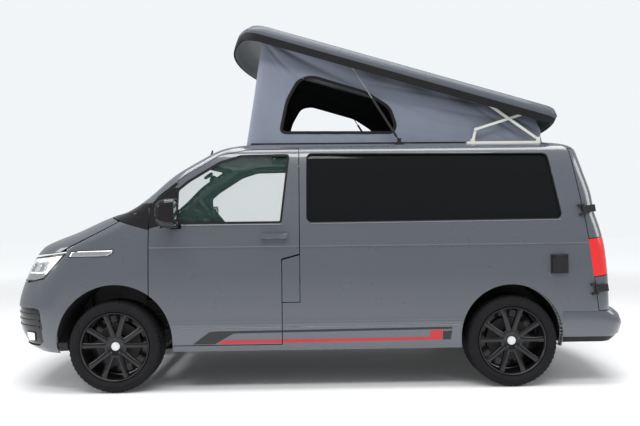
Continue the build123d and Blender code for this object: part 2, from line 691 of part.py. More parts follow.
# The door's edge beside the lamp leans, because it swings outwards past the lamp
LAMP_RELIEF = [(-40, -1100), (-40, -742), (95, -742), (127, -763), (172, -794), (172, -1100)]
LINE_UP = (-sin(TILT), 0, cos(TILT))
with BuildPart() as rear_door_left:
    add(WALL_BAND)
    side_prism(
        [
            (shut_x(REAR_DOOR_LOW), REAR_DOOR_LOW),
            (2700, REAR_DOOR_LOW),
            square_off(REAR_DOOR_TOP, 700),
            square_off(REAR_DOOR_TOP, 0),
        ],
        start=REAR_SPLIT,
    )
    end_prism(REAR_WINDOW, 1700, 1000, Mode.SUBTRACT, 50)
    side_prism(lamp_clear, Mode.SUBTRACT, start=LAMP_IN_Y - GAP)
    lamp_foot = (shut_x(LAMP_LOW - GAP), 0, LAMP_LOW - GAP)
    with BuildSketch(Plane(lamp_foot, (cos(TILT), 0, sin(TILT)), LINE_UP)):
        Polygon(*LAMP_RELIEF, align=None)
    extrude(amount=(LAMP_TOP - LAMP_LOW + 2 * GAP) / cos(TILT), mode=Mode.SUBTRACT)
save(rear_door_left.part, "rear_door_left")
save(flipped(rear_door_left.part), "rear_door_right")

with BuildPart() as rear_glass_left:
    add(GLASS_BAND)
    end_prism(REAR_WINDOW, 1700, 1000, Mode.INTERSECT, 50, -SEAT)
save(rear_glass_left.part, "rear_glass_left")
save(flipped(rear_glass_left.part), "rear_glass_right")

with BuildPart() as tail_lamp_left:
    add(WALL_BAND)
    side_prism(lamp_outline, start=LAMP_IN_Y)
with BuildPart() as tail_lamps:
    add(tail_lamp_left.part)
    add(flipped(tail_lamp_left.part))
save(tail_lamps.part, "tail_lamps")

# Rear hinge line: outside the skin, through two points beside the shut line
HINGE_OUT = 16.0
REAR_HINGE_LOW = (shut_x(736) - 3, -(HALF_WIDTH + HINGE_OUT), 736.0)
REAR_HINGE_HIGH = (shut_x(1338) - 3, -(914 + HINGE_OUT), 1338.0)
hinge_span = [b - a for a, b in zip(REAR_HINGE_LOW, REAR_HINGE_HIGH)]
hinge_length = sqrt(sum(d * d for d in hinge_span))
hinge_dir = [d / hinge_length for d in hinge_span]
print("rear hinge axis", REAR_HINGE_LOW, hinge_dir)
with BuildPart() as pins_left:
    for centre in (REAR_HINGE_LOW, REAR_HINGE_HIGH):
        stand = Plane(origin=centre, x_dir=(1, 0, 0), z_dir=hinge_dir)
        with Locations(stand.location):
            Cylinder(6, 84)
        for end in (-1, 1):
            with Locations(stand.offset(end * 35).location):
                with Locations((-16, 10, 0)):
                    Box(44, 40, 14)
    add(BODY, mode=Mode.SUBTRACT)
with BuildPart() as rear_hinge_pins:
    add(pins_left.part)
    add(flipped(pins_left.part))
save(rear_hinge_pins.part, "rear_hinge_pins")
with BuildPart() as rear_straps_left:
    for centre in (REAR_HINGE_LOW, REAR_HINGE_HIGH):
        stand = Plane(origin=centre, x_dir=(1, 0, 0), z_dir=hinge_dir)
        with Locations(stand.location):
            Cylinder(12, 54)
            with Locations((44, 9, 0)):
                Box(88, 22, 54)
    add(BODY, mode=Mode.SUBTRACT)
    for centre in (REAR_HINGE_LOW, REAR_HINGE_HIGH):
        stand = Plane(origin=centre, x_dir=(1, 0, 0), z_dir=hinge_dir)
        with Locations(stand.location):
            Cylinder(6.5, 120, mode=Mode.SUBTRACT)
save(rear_straps_left.part, "rear_straps_left")
save(flipped(rear_straps_left.part), "rear_straps_right")

with BuildPart() as rear_bumper:
    add(wall(BUMPER_CUTS, 0, 34))
    block((BUMPER_FRONT, -REACH, 200), (REAR_X + 50, REACH, 700), Mode.INTERSECT)
save(rear_bumper.part, "rear_bumper")

# Mains inlet and its lid, low on the left rear quarter
INLET_X = (1747.0, 1875.0)
INLET_Z = (855.0, 997.0)
INLET_PROUD = 14.0
LID_T = 6.0
LID_AXIS_Y = HALF_WIDTH + INLET_PROUD + 5
LID_AXIS_Z = INLET_Z[1] - 8
with BuildPart() as mains_inlet:
    block((INLET_X[0], -HALF_WIDTH - INLET_PROUD, INLET_Z[0]), (INLET_X[1], -HALF_WIDTH + 30, INLET_Z[1]))
    add(BODY, mode=Mode.SUBTRACT)
    for x in (INLET_X[0] + 8, INLET_X[1] - 18):
        block((x, -LID_AXIS_Y - 4, LID_AXIS_Z - 4), (x + 10, -HALF_WIDTH - INLET_PROUD, LID_AXIS_Z + 4))
    with Locations(Location(((INLET_X[0] + INLET_X[1]) / 2, -LID_AXIS_Y, LID_AXIS_Z), (0, 90, 0))):
        Cylinder(2.5, INLET_X[1] - INLET_X[0] - 24)
save(mains_inlet.part, "mains_inlet")
with BuildPart() as mains_lid:
    block(
        (INLET_X[0] + 6, -LID_AXIS_Y - LID_T + 2, INLET_Z[0] + 6),
        (INLET_X[1] - 6, -LID_AXIS_Y + 2, LID_AXIS_Z - 10),
    )
    with Locations(Location(((INLET_X[0] + INLET_X[1]) / 2, -LID_AXIS_Y, LID_AXIS_Z), (0, 90, 0))):
        Cylinder(4.6, INLET_X[1] - INLET_X[0] - 44)
    block(
        (INLET_X[0] + 22, -LID_AXIS_Y - 4, LID_AXIS_Z - 12),
        (INLET_X[1] - 22, -LID_AXIS_Y + 2, LID_AXIS_Z),
    )
    with Locations(Location(((INLET_X[0] + INLET_X[1]) / 2, -LID_AXIS_Y, LID_AXIS_Z), (0, 90, 0))):
        Cylinder(2.9, INLET_X[1] - INLET_X[0], mode=Mode.SUBTRACT)
save(mains_lid.part, "mains_lid")

# Wheels: tyre, rim with hub and brake disc
WHEELS = [
    ("front_left", FRONT_AXLE, -1),
    ("front_right", FRONT_AXLE, 1),
    ("rear_left", REAR_AXLE, -1),
    ("rear_right", REAR_AXLE, 1),
]
SPOKE_PAIRS = 5
SPOKE_SPREAD = 12.0
TYRE_SIDES = 80
BEAD_R = (RIM_R + SEAT) / cos(pi / TYRE_SIDES)
Ring = namedtuple("Ring", "y radius")
TREAD_RINGS = [
    Ring(-TYRE_W / 2, RIM_R + 40),
    Ring(-TYRE_W / 2 + 6, TYRE_R - 22),
    Ring(-TYRE_W / 2 + 26, TYRE_R),
    Ring(TYRE_W / 2 - 26, TYRE_R),
    Ring(TYRE_W / 2 - 6, TYRE_R - 22),
    Ring(TYRE_W / 2, RIM_R + 40),
]
BORE_RINGS = [
    Ring(-TYRE_W / 2, RIM_R + 40),
    Ring(-RIM_W / 2, BEAD_R),
    Ring(RIM_W / 2, BEAD_R),
    Ring(TYRE_W / 2, RIM_R + 40),
]


def ring_stack(rings):
    """A stack of many-sided rings about the Y axis."""
    with BuildPart() as stack:
        for ring in rings:
            with BuildSketch(Plane.XZ.offset(-ring.y)):
                RegularPolygon(ring.radius, TYRE_SIDES)
        loft(ruled=True)
    return stack.part


with BuildPart() as tyre:
    add(ring_stack(TREAD_RINGS))
    add(ring_stack(BORE_RINGS), mode=Mode.SUBTRACT)
SPOKE_FOOT = 58.0
SPOKE_FOOT_W = 34.0
SPOKE_TIP_W = 21.0
with BuildPart() as spoke:
    with BuildSketch(Plane.XY):
        Polygon(
            (SPOKE_FOOT, -96),
            (RIM_BORE_R - 30, -106),
            (RIM_BORE_R + 4, -98),
            (RIM_BORE_R + 4, -66),
            (SPOKE_FOOT, -60),
            align=None,
        )
    extrude(amount=SPOKE_FOOT_W / 2, both=True)
    with BuildSketch(Plane.XZ.offset(0)):
        Polygon(
            (SPOKE_FOOT, -SPOKE_FOOT_W / 2),
            (RIM_R, -SPOKE_TIP_W / 2),
            (RIM_R, SPOKE_TIP_W / 2),
            (SPOKE_FOOT, SPOKE_FOOT_W / 2),
            align=None,
        )
    extrude(amount=200, both=True, mode=Mode.INTERSECT)
with BuildPart() as rim:
    with BuildSketch(Plane.XY):
        with Locations(((RIM_R + RIM_BORE_R) / 2, 0)):
            Rectangle(RIM_R - RIM_BORE_R, RIM_W)
    revolve(axis=Axis.Y)
    rod_y(0, 0, -92, -40, HUB_R)
    for pair in range(SPOKE_PAIRS):
        for lean in (-SPOKE_SPREAD, SPOKE_SPREAD):
            with Locations(Location((0, 0, 0), (0, 360 / SPOKE_PAIRS * pair + lean + 18, 0))):
                add(spoke.part)
    rod_y(0, 0, 10, 38, DISC_R)
    rod_y(0, 0, -60, 30, HUB_R - 8)
    rod_y(0, 0, -70, 60, SPINDLE_R + 0.5, Mode.SUBTRACT)
for name, axle_x, side in WHEELS:
    turned = tyre.part if side < 0 else flipped(tyre.part)
    with BuildPart() as placed:
        with Locations((axle_x, side * HALF_TRACK, TYRE_R)):
            add(turned)
    save(placed.part, "tyre_" + name)
    turned = rim.part if side < 0 else flipped(rim.part)
    with BuildPart() as placed:
        with Locations((axle_x, side * HALF_TRACK, TYRE_R)):
            add(turned)
    save(placed.part, "rim_" + name)

# Steering knuckles, held between the subframe's arms
ARM_Z = (TYRE_R - 110, TYRE_R + 120)
with BuildPart() as knuckle_left:
    rod_y(FRONT_AXLE, TYRE_R, -HALF_TRACK + 68, -KINGPIN_Y + 10, SPINDLE_R + 20)
    rod_y(FRONT_AXLE, TYRE_R, -HALF_TRACK - 68, -KINGPIN_Y, SPINDLE_R)
    block((FRONT_AXLE - 30, -KINGPIN_Y - 14, ARM_Z[0]), (FRONT_AXLE + 30, -KINGPIN_Y + 30, ARM_Z[1]))
    rod_z(FRONT_AXLE, -KINGPIN_Y, ARM_Z[0] - 26, ARM_Z[1] + 26, 13)
    block((FRONT_AXLE + 40, -KINGPIN_Y - 12, TYRE_R + 62), (FRONT_AXLE + 175, -KINGPIN_Y + 32, TYRE_R + 98))
    block((FRONT_AXLE, -KINGPIN_Y - 12, TYRE_R + 62), (FRONT_AXLE + 60, -KINGPIN_Y + 32, TYRE_R + 98))
save(knuckle_left.part, "knuckle_left")
save(flipped(knuckle_left.part), "knuckle_right")

with BuildPart() as front_subframe:
    block((FRONT_AXLE - 240, -480, ARM_Z[0] - 24), (FRONT_AXLE - 160, 480, ARM_Z[0] + 6))
    block((FRONT_AXLE + 160, -480, ARM_Z[0] - 24), (FRONT_AXLE + 240, 480, ARM_Z[0] + 6))
    for side in (-1, 1):
        block((FRONT_AXLE - 240, side * 420, ARM_Z[0] - 24), (FRONT_AXLE + 240, side * 480, ARM_Z[0] + 6))
        for z_from, z_to, root in (
            (ARM_Z[0] - 26, ARM_Z[0] - 2, RAIL_IN + 10),
            (ARM_Z[1] + 2, ARM_Z[1] + 26, RAIL_OUT + SEAT),
        ):
            block((FRONT_AXLE - 34, side * root, z_from), (FRONT_AXLE + 34, side * KINGPIN_Y, z_to))
            rod_z(FRONT_AXLE, side * KINGPIN_Y, z_from, z_to, 34)
        rod_z(FRONT_AXLE, side * KINGPIN_Y, ARM_Z[0] - 60, ARM_Z[1] + 60, 13.5, Mode.SUBTRACT)
        block((FRONT_AXLE - 34, side * 440, ARM_Z[0] - 26), (FRONT_AXLE + 34, side * 478, 420 - SEAT))
save(front_subframe.part, "front_subframe")

# Rear axle: cross tube, trailing arms and hub carriers
with BuildPart() as rear_axle:
    rod_y(REAR_AXLE - 280, 330, -480, 480, 38)
    for side in (-1, 1):
        block((REAR_AXLE - 300, side * 440, 300), (REAR_AXLE + 60, side * 500, 372))
        block((REAR_AXLE - 40, side * 440, 290), (REAR_AXLE + 40, side * (KINGPIN_Y + 4), 396))
        rod_y(REAR_AXLE, TYRE_R, side * (KINGPIN_Y - 40), side * (HALF_TRACK + 68), SPINDLE_R)
        rod_y(REAR_AXLE, TYRE_R, side * 600, side * (HALF_TRACK - 68), SPINDLE_R + 20)
        rod_z(REAR_AXLE + 10, side * 470, 360, 519.7, 46)
        rod_z(REAR_AXLE - 280, side * 470, 330, 519.7, 30)
save(rear_axle.part, "rear_axle")

# Wheel housings
with BuildPart() as wheel_housings:
    for side in (-1, 1):
        for x, z, radius, inner in (
            (FRONT_ARCH_X, FRONT_ARCH_Z, FRONT_HOUSING_R, HOUSING_IN),
            (REAR_ARCH_X, REAR_ARCH_Z, REAR_ARCH_R + 4, REAR_HOUSING_IN),
        ):
            with BuildPart():
                rod_y(x, z, side * inner, side * LINER_OUT_Y, radius + LINER_T)
                hollow_from = inner + (0 if x < 0 else LINER_T)
                rod_y(x, z, side * hollow_from, side * LINER_OUT_Y, radius, Mode.SUBTRACT)
                block((x - 600, side * inner, 0), (x + 600, side * LINER_OUT_Y, z - 40), Mode.SUBTRACT)
                add(CLEAR_INSIDE, mode=Mode.INTERSECT)
                if x > 0:
                    rod_y(x, z - 45, side * (inner - 5), side * (inner + 20), 130, Mode.SUBTRACT)
save(wheel_housings.part, "wheel_housings")

# Floor with sills and rails
FLOOR_Z = (520.0, 545.0)
JACK_X = (-960.0, 880.0)
JACK_Z = 286.0
CROSS_X = (2240.0, 2290.0)
TOW_SPACING = 900.0
TOW_Z = (450.0, 500.0)
TOW_HOLE_R = 6.5
with BuildPart() as floor_pan:
    with BuildPart():
        block((BULKHEAD_X + 25, -HALF_WIDTH, FLOOR_Z[0]), (DOOR_REAR + GAP, HALF_WIDTH, FLOOR_Z[1]))
        add(CLEAR_INSIDE, mode=Mode.INTERSECT)
    with BuildPart():
        block((DOOR_REAR + GAP, -HALF_WIDTH, FLOOR_Z[0]), (2090, HALF_WIDTH, FLOOR_Z[1]))
        add(INSIDE, mode=Mode.INTERSECT)
    for side in (-1, 1):
        with BuildPart():
            block((-1080, side * 800, 306), (DOOR_REAR + GAP, side * HALF_WIDTH, FLOOR_Z[0]))
            add(CLEAR_INSIDE, mode=Mode.INTERSECT)
        with BuildPart():
            block((DOOR_REAR + GAP, side * 800, 306), (1040, side * HALF_WIDTH, FLOOR_Z[0]))
            add(INSIDE, mode=Mode.INTERSECT)
        block((BULKHEAD_X + 25, side * 430, 420), (1100, side * 480, FLOOR_Z[0]))
        block((1800, side * 430, 430), (2250, side * 480, FLOOR_Z[0]))
        block(
            (REAR_ARCH_X - REAR_ARCH_R - 20, side * (REAR_HOUSING_IN - SEAT), 400),
            (REAR_ARCH_X + REAR_ARCH_R + 20, side * HALF_WIDTH, 700),
            Mode.SUBTRACT,
        )
        rod_y(
            FRONT_ARCH_X,
            FRONT_ARCH_Z,
            side * (HOUSING_IN - 2),
            side * REACH,
            FRONT_HOUSING_R + LINER_T + SEAT,
            Mode.SUBTRACT,
        )
        for x in JACK_X:
            block((x - 35, side * 812, JACK_Z), (x + 35, side * 844, 310))
    block((CROSS_X[0], -640, 430), (CROSS_X[1], 640, FLOOR_Z[0]))
    for y in (-TOW_SPACING / 2, TOW_SPACING / 2):
        for z in TOW_Z:
            with Locations(Location(((CROSS_X[0] + CROSS_X[1]) / 2, y, z), (0, 90, 0))):
                Cylinder(TOW_HOLE_R, 80, mode=Mode.SUBTRACT)
save(floor_pan.part, "floor_pan")

# Power unit, tank and exhaust
with BuildPart() as engine_block:
    block((-2120, -400, 330), (-1640, 400, 960))
    block((-1900, -429.7, 430), (-1840, 429.7, 500))
save(engine_block.part, "engine_block")
with BuildPart() as fuel_tank:
    block((-100, -420, 290), (760, 60, 519.7))
    fillet(fuel_tank.edges().filter_by(Axis.Z), 60)
save(fuel_tank.part, "fuel_tank")
with BuildPart() as exhaust:
    with Locations(Location((-520, 190, 400), (0, 90, 0))):
        Cylinder(30, 1900)
    block((430, 110, 330), (1010, 330, 470))
    with Locations(Location((1500, 260, 420), (0, 90, 0))):
        Cylinder(26, 1300)
    for x in (-900, 700, 2000):
        block((x, 180, 410), (x + 20, 270, 519.7))
    block((-1640, 170, 380), (-1460, 210, 420))
save(exhaust.part, "exhaust")

# Cab: fascia, steering wheel, seats
with BuildPart() as dashboard:
    with BuildSketch(Plane.XZ.offset(-800)):
        with BuildLine():
            Polyline(
                (BULKHEAD_X + 25, 850),
                (BULKHEAD_X + 25, 1262),
                (-1120, 1312),
                (-1000, 1296),
                (-915, 1190),
                (-900, 1120),
                (-960, 900),
                close=True,
            )
        make_face()
    extrude(amount=1600)
    with BuildSketch(Plane.XZ.offset(250)):
        Polygon((-1150, 1280), (-1118, 1376), (-1030, 1386), (-985, 1352), (-985, 1260), align=None)
    extrude(amount=280)
save(dashboard.part, "dashboard")
WHEEL_CENTRE = (-855.0, -390.0, 1315.0)
WHEEL_TILT = radians(40)
with BuildPart() as steering_wheel:
    stand = Plane(origin=WHEEL_CENTRE, x_dir=(0, 1, 0), z_dir=(cos(WHEEL_TILT), 0, sin(WHEEL_TILT)))
    with Locations(stand.location):
        Torus(180, 15)
        Cylinder(48, 40)
        Box(350, 36, 16)
        with Locations((0, -70, 0)):
            Box(36, 190, 14)
        with Locations((0, 0, -80)):
            Cylinder(26, 150)
    add(dashboard.part, mode=Mode.SUBTRACT)
save(steering_wheel.part, "steering_wheel")
SEAT_Y = 430.0
with BuildPart() as front_seats:
    for side in (-1, 1):
        with BuildPart():
            with BuildSketch(Plane.XZ.offset(side * SEAT_Y - 250)):
                with BuildLine():
                    Polyline(
                        (-640, FLOOR_Z[1]),
                        (-640, 800),
                        (-720, 830),
                        (-730, 930),
                        (-300, 900),
                        (-170, 1440),
                        (-60, 1440),
                        (-180, 820),
                        (-200, FLOOR_Z[1]),
                        close=True,
                    )
                make_face()
            extrude(amount=500)
        block((-150, side * SEAT_Y - 60, 1430), (-105, side * SEAT_Y + 60, 1480))
        block((-180, side * SEAT_Y - 130, 1480), (-80, side * SEAT_Y + 130, 1640))

# Living space: side unit and rear bench
with BuildPart() as side_unit:
    block((60, -HALF_WIDTH, FLOOR_Z[1]), (1010, -470, 1225))
    add(INSIDE, mode=Mode.INTERSECT)
save(side_unit.part, "side_unit")
with BuildPart() as rear_bench:
    with BuildSketch(Plane.XZ.offset(-560)):
        with BuildLine():
            Polyline(
                (1120, FLOOR_Z[1]),
                (1090, 960),
                (1540, 930),
                (1640, 1400),
                (1740, 1400),
                (1680, FLOOR_Z[1]),
                close=True,
            )
        make_face()
    extrude(amount=1010)
with BuildPart() as seats:
    add(front_seats.part)
    add(rear_bench.part)
save(seats.part, "seats")

# Lifting roof. Pivots in side view, open (the rest pose) and shut.
ARM_BASE = (1760.0, 1910.0)
ARM_LENGTH = 560.0
ARM_OPEN = radians(35.5)
ARM_SHUT = asin(10 / ARM_LENGTH)
ROOF_TILT = radians(16.06)
PIVOT_GAP = 402.0
arm_open = (ARM_BASE[0] - ARM_LENGTH * cos(ARM_OPEN), ARM_BASE[1] + ARM_LENGTH * sin(ARM_OPEN))
arm_shut = (ARM_BASE[0] - ARM_LENGTH * cos(ARM_SHUT), ARM_BASE[1] + ARM_LENGTH * sin(ARM_SHUT))


def lifted(point):
    """Where a point of the shut roof stands when the roof is open."""
    dx = point[0] - arm_shut[0]
    dz = point[1] - arm_shut[1]
    return (
        arm_open[0] + dx * cos(ROOF_TILT) + dz * sin(ROOF_TILT),
        arm_open[1] - dx * sin(ROOF_TILT) + dz * cos(ROOF_TILT),
    )


stay_shut = (arm_shut[0] + PIVOT_GAP, arm_shut[1])
stay_open = lifted(stay_shut)
STAY_FOOT_OPEN = (1268.0, 1993.0)
stay_length = hypot(stay_open[0] - STAY_FOOT_OPEN[0], stay_open[1] - STAY_FOOT_OPEN[1])
STAY_FOOT_SHUT = (
    stay_shut[0] - stay_length * cos(radians(0.5)),
    stay_shut[1] - stay_length * sin(radians(0.5)),
)
LINK_BASE_Z = ARM_BASE[1] - 2
rise_open = STAY_FOOT_OPEN[1] - LINK_BASE_Z
rise_shut = STAY_FOOT_SHUT[1] - LINK_BASE_Z
link_base = (
    (STAY_FOOT_OPEN[0] + STAY_FOOT_SHUT[0]) / 2
    + (rise_open**2 - rise_shut**2) / (2 * (STAY_FOOT_OPEN[0] - STAY_FOOT_SHUT[0])),
    LINK_BASE_Z,
)
STRUT_BASE = (646.0, 1908.0)
STRUT_TOP_SHUT = (64.0, 1958.0)
strut_top = lifted(STRUT_TOP_SHUT)


def swing(base_open, tip_open, base_shut, tip_shut):
    """Turn about +Y, in degrees, of a bar as the roof shuts."""
    turn = bearing(base_open, tip_open) - bearing(base_shut, tip_shut)
    return degrees(turn)


arm_turn = swing(ARM_BASE, arm_open, ARM_BASE, arm_shut)
roof_turn = -degrees(ROOF_TILT)
stay_turn = swing(stay_open, STAY_FOOT_OPEN, stay_shut, STAY_FOOT_SHUT)
link_turn = swing(link_base, STAY_FOOT_OPEN, link_base, STAY_FOOT_SHUT)
strut_turn = swing(STRUT_BASE, strut_top, STRUT_BASE, STRUT_TOP_SHUT)
strut_open_length = hypot(strut_top[0] - STRUT_BASE[0], strut_top[1] - STRUT_BASE[1])
strut_shut_length = hypot(STRUT_TOP_SHUT[0] - STRUT_BASE[0], STRUT_TOP_SHUT[1] - STRUT_BASE[1])
print("arm", ARM_BASE, arm_open, arm_turn)
print("roof pivot", arm_open, roof_turn - arm_turn)
print("stay pivot", stay_open, stay_turn - roof_turn, "length", stay_length)
print("link", link_base, link_turn)
print("strut", STRUT_BASE, strut_top, strut_turn, strut_open_length, strut_shut_length)

# Lanes beside the tent, from outside in: brackets, arm and strut, stay, link, the link's foot
LANE_BRACKET = (696.0, 704.0)
LANE_ARM = (684.0, 692.0)
LANE_STAY = (672.0, 680.0)
LANE_LINK = (660.0, 668.0)
LANE_FOOT = (648.0, 656.0)
SHELL_T = 14.0
ROOF_CLEAR = 9.0


with BuildPart() as scissor_arm:
    for side in (-1, 1):
        flat_bar(ARM_BASE, arm_open, LANE_ARM, 20, side, PIN_R + 0.4, PIN_R + 0.4)
save(scissor_arm.part, "scissor_arm")
with BuildPart() as scissor_stay:
    for side in (-1, 1):
        flat_bar(stay_open, STAY_FOOT_OPEN, LANE_STAY, 20, side, PIN_R + 0.4, 0)
save(scissor_stay.part, "scissor_stay")
with BuildPart() as scissor_link:
    for side in (-1, 1):
        flat_bar(link_base, STAY_FOOT_OPEN, LANE_LINK, 20, side, PIN_R + 0.4, 0)
        rod_y(STAY_FOOT_OPEN[0], STAY_FOOT_OPEN[1], side * LANE_LINK[0], side * (LANE_STAY[0] - 0.5), PIN_R)
save(scissor_link.part, "scissor_link")

RAIL_X = (1190.0, 1776.0)
RAIL_TOP = 1892.0
with BuildPart() as lift_rails:
    for side in (-1, 1):
        with BuildPart():
            block(
                (RAIL_X[0], side * LANE_FOOT[0], 1820),
                (RAIL_X[1], side * LANE_BRACKET[1], RAIL_TOP),
            )
            add(BODY, mode=Mode.SUBTRACT)
        block(
            (ARM_BASE[0] - 16, side * LANE_BRACKET[0], 1880),
            (ARM_BASE[0] + 16, side * LANE_BRACKET[1], ARM_BASE[1] + 14),
        )
        rod_y(ARM_BASE[0], ARM_BASE[1], side * (LANE_ARM[0] - 3), side * LANE_BRACKET[1], PIN_R)
        block(
            (link_base[0] - 18, side * LANE_FOOT[0], RAIL_TOP - 4),
            (link_base[0] + 18, side * LANE_FOOT[1], link_base[1] + 12),
        )
        rod_y(link_base[0], link_base[1], side * LANE_FOOT[0], side * (LANE_LINK[1] + 0.5), PIN_R)
        with BuildPart():
            block(
                (STRUT_BASE[0] - 40, side * LANE_STAY[0], 1820),
                (STRUT_BASE[0] + 40, side * LANE_BRACKET[1], 1884),
            )
            add(BODY, mode=Mode.SUBTRACT)
        block(
            (STRUT_BASE[0] - 16, side * LANE_BRACKET[0], 1878),
            (STRUT_BASE[0] + 16, side * LANE_BRACKET[1], STRUT_BASE[1] + 14),
        )
        rod_y(STRUT_BASE[0], STRUT_BASE[1], side * (LANE_ARM[0] - 6), side * LANE_BRACKET[1], PIN_R)
save(lift_rails.part, "lift_rails")

# Gas struts: barrel on the roof, rod towards the lifting shell
BARREL_R = 9.5
ROD_R = 4.5
BARREL_LENGTH = 400.0
strut_dir = (
    (strut_top[0] - STRUT_BASE[0]) / strut_open_length,
    (strut_top[1] - STRUT_BASE[1]) / strut_open_length,
)


def along_strut(run):
    return (STRUT_BASE[0] + strut_dir[0] * run, STRUT_BASE[1] + strut_dir[1] * run)


def strut_piece(run_from, run_to, radius, side, mode=Mode.ADD):
    mid = along_strut((run_from + run_to) / 2)
    stand = Plane(
        origin=(mid[0], side * (LANE_ARM[0] + LANE_ARM[1]) / 2, mid[1]),
        x_dir=(0, 1, 0),
        z_dir=(strut_dir[0], 0, strut_dir[1]),
    )
    with Locations(stand.location):
        Cylinder(radius, run_to - run_from, mode=mode)


with BuildPart() as strut_barrels:
    for side in (-1, 1):
        strut_piece(34, BARREL_LENGTH, BARREL_R, side)
        strut_piece(0, 40, 5, side)
        rod_y(STRUT_BASE[0], STRUT_BASE[1], side * LANE_ARM[0], side * LANE_ARM[1], 11)
        strut_piece(46, BARREL_LENGTH + 5, ROD_R + 0.5, side, Mode.SUBTRACT)
        eye_from, eye_to = side * (LANE_ARM[0] - 8), side * (LANE_ARM[1] + 8)
        rod_y(STRUT_BASE[0], STRUT_BASE[1], eye_from, eye_to, PIN_R + 0.4, Mode.SUBTRACT)
save(strut_barrels.part, "strut_barrels")
with BuildPart() as strut_rods:
    for side in (-1, 1):
        strut_piece(BARREL_LENGTH - 100, strut_open_length - 6, ROD_R, side)
        rod_y(strut_top[0], strut_top[1], side * LANE_ARM[0], side * LANE_ARM[1], 11)
save(strut_rods.part, "strut_rods")

# The lifting shell and its brackets, drawn shut and then set open
with BuildPart() as shell_shut:
    add(wall(SHELL_CUTS, 0, SHELL_T))
    add(form(BODY_CUTS, -ROOF_CLEAR), mode=Mode.SUBTRACT)
SHELL_INSIDE = form(SHELL_CUTS, SHELL_T + SEAT)
with BuildPart() as brackets_shut:
    for side in (-1, 1):
        for point, near, far, rise, pin_end in (
            (arm_shut, LANE_BRACKET[0], 800, 44, LANE_ARM[0] - 3),
            (stay_shut, LANE_LINK[0], LANE_LINK[1], 140, LANE_STAY[1] + 1),
            (STRUT_TOP_SHUT, LANE_BRACKET[0], 800, 44, LANE_ARM[1] + 1.5),
        ):
            with BuildPart():
                block(
                    (point[0] - 24, side * near, point[1] - 14),
                    (point[0] + 24, side * far, point[1] + rise),
                )
                add(SHELL_INSIDE, mode=Mode.INTERSECT)
            rod_y(point[0], point[1], side * pin_end, side * (near + 2), PIN_R)
lift = Location((arm_open[0], 0, arm_open[1])) * Location((0, 0, 0), (0, degrees(ROOF_TILT), 0))
lift = lift * Location((-arm_shut[0], 0, -arm_shut[1]))
with BuildPart() as roof_shell:
    add(shell_shut.part.moved(lift))
    add(brackets_shut.part.moved(lift))
save(roof_shell.part, "roof_shell")

# Tent walls between the roof and the shell
TENT_T = 3.0
TENT_TOP = 1978.0
with BuildPart() as tent:
    add(wall(TENT_CUTS, 0, TENT_T))
    cross_prism(
        [
            (-900, TENT_CUTS[0].z),
            (2100, TENT_CUTS[0].z),
            lifted((1990, TENT_TOP)),
            lifted((-1100, TENT_TOP)),
        ]
    )
    add(form(BODY_CUTS, -SEAT), mode=Mode.SUBTRACT)
save(tent.part, "tent")
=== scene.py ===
# %% [markdown]
# # A camper van with its roof up
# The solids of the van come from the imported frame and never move. This file dresses them: paint,
# glass, cloth, lamps and wheels. Everything is in metres, the nose points to -X, the vehicle's left
# side to -Y and up is +Z, so a piece goes where the solid is, without fitting.

import json
from math import cos, pi, radians, sin, sqrt, tan

import bmesh
import bpy
import numpy as np
from mathutils.bvhtree import BVHTree
from mathutils import Matrix, Vector


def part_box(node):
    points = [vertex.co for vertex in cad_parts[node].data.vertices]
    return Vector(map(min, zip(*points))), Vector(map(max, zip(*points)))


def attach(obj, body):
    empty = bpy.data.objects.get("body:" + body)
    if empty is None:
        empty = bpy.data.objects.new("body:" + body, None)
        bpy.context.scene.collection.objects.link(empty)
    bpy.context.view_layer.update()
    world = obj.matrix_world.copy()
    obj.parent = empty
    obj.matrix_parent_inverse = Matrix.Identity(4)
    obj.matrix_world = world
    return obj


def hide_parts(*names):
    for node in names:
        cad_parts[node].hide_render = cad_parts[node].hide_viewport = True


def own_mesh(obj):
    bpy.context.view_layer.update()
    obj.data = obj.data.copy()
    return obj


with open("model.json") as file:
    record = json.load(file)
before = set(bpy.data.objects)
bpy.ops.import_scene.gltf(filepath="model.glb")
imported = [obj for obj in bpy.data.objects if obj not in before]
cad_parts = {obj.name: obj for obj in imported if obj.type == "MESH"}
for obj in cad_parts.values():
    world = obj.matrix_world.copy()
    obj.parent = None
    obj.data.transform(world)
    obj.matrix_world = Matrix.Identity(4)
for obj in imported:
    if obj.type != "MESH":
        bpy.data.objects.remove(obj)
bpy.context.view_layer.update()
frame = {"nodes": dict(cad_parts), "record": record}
nodes = frame["nodes"]
owner = {node: body for body, held in frame["record"]["behaviour"]["bodies"].items() for node in held}

# %% [markdown]
# ## Shader maths as Python
# A paint or a cloth is a sum of small effects: a grain, a gradient, a weave. Placing each Math node
# by hand hides that sum. `Wire` wraps one socket, so `1 - mask * 0.3` adds the nodes for it, and its
# `node` method adds any other node: type, settings first, then the sockets' values or links.


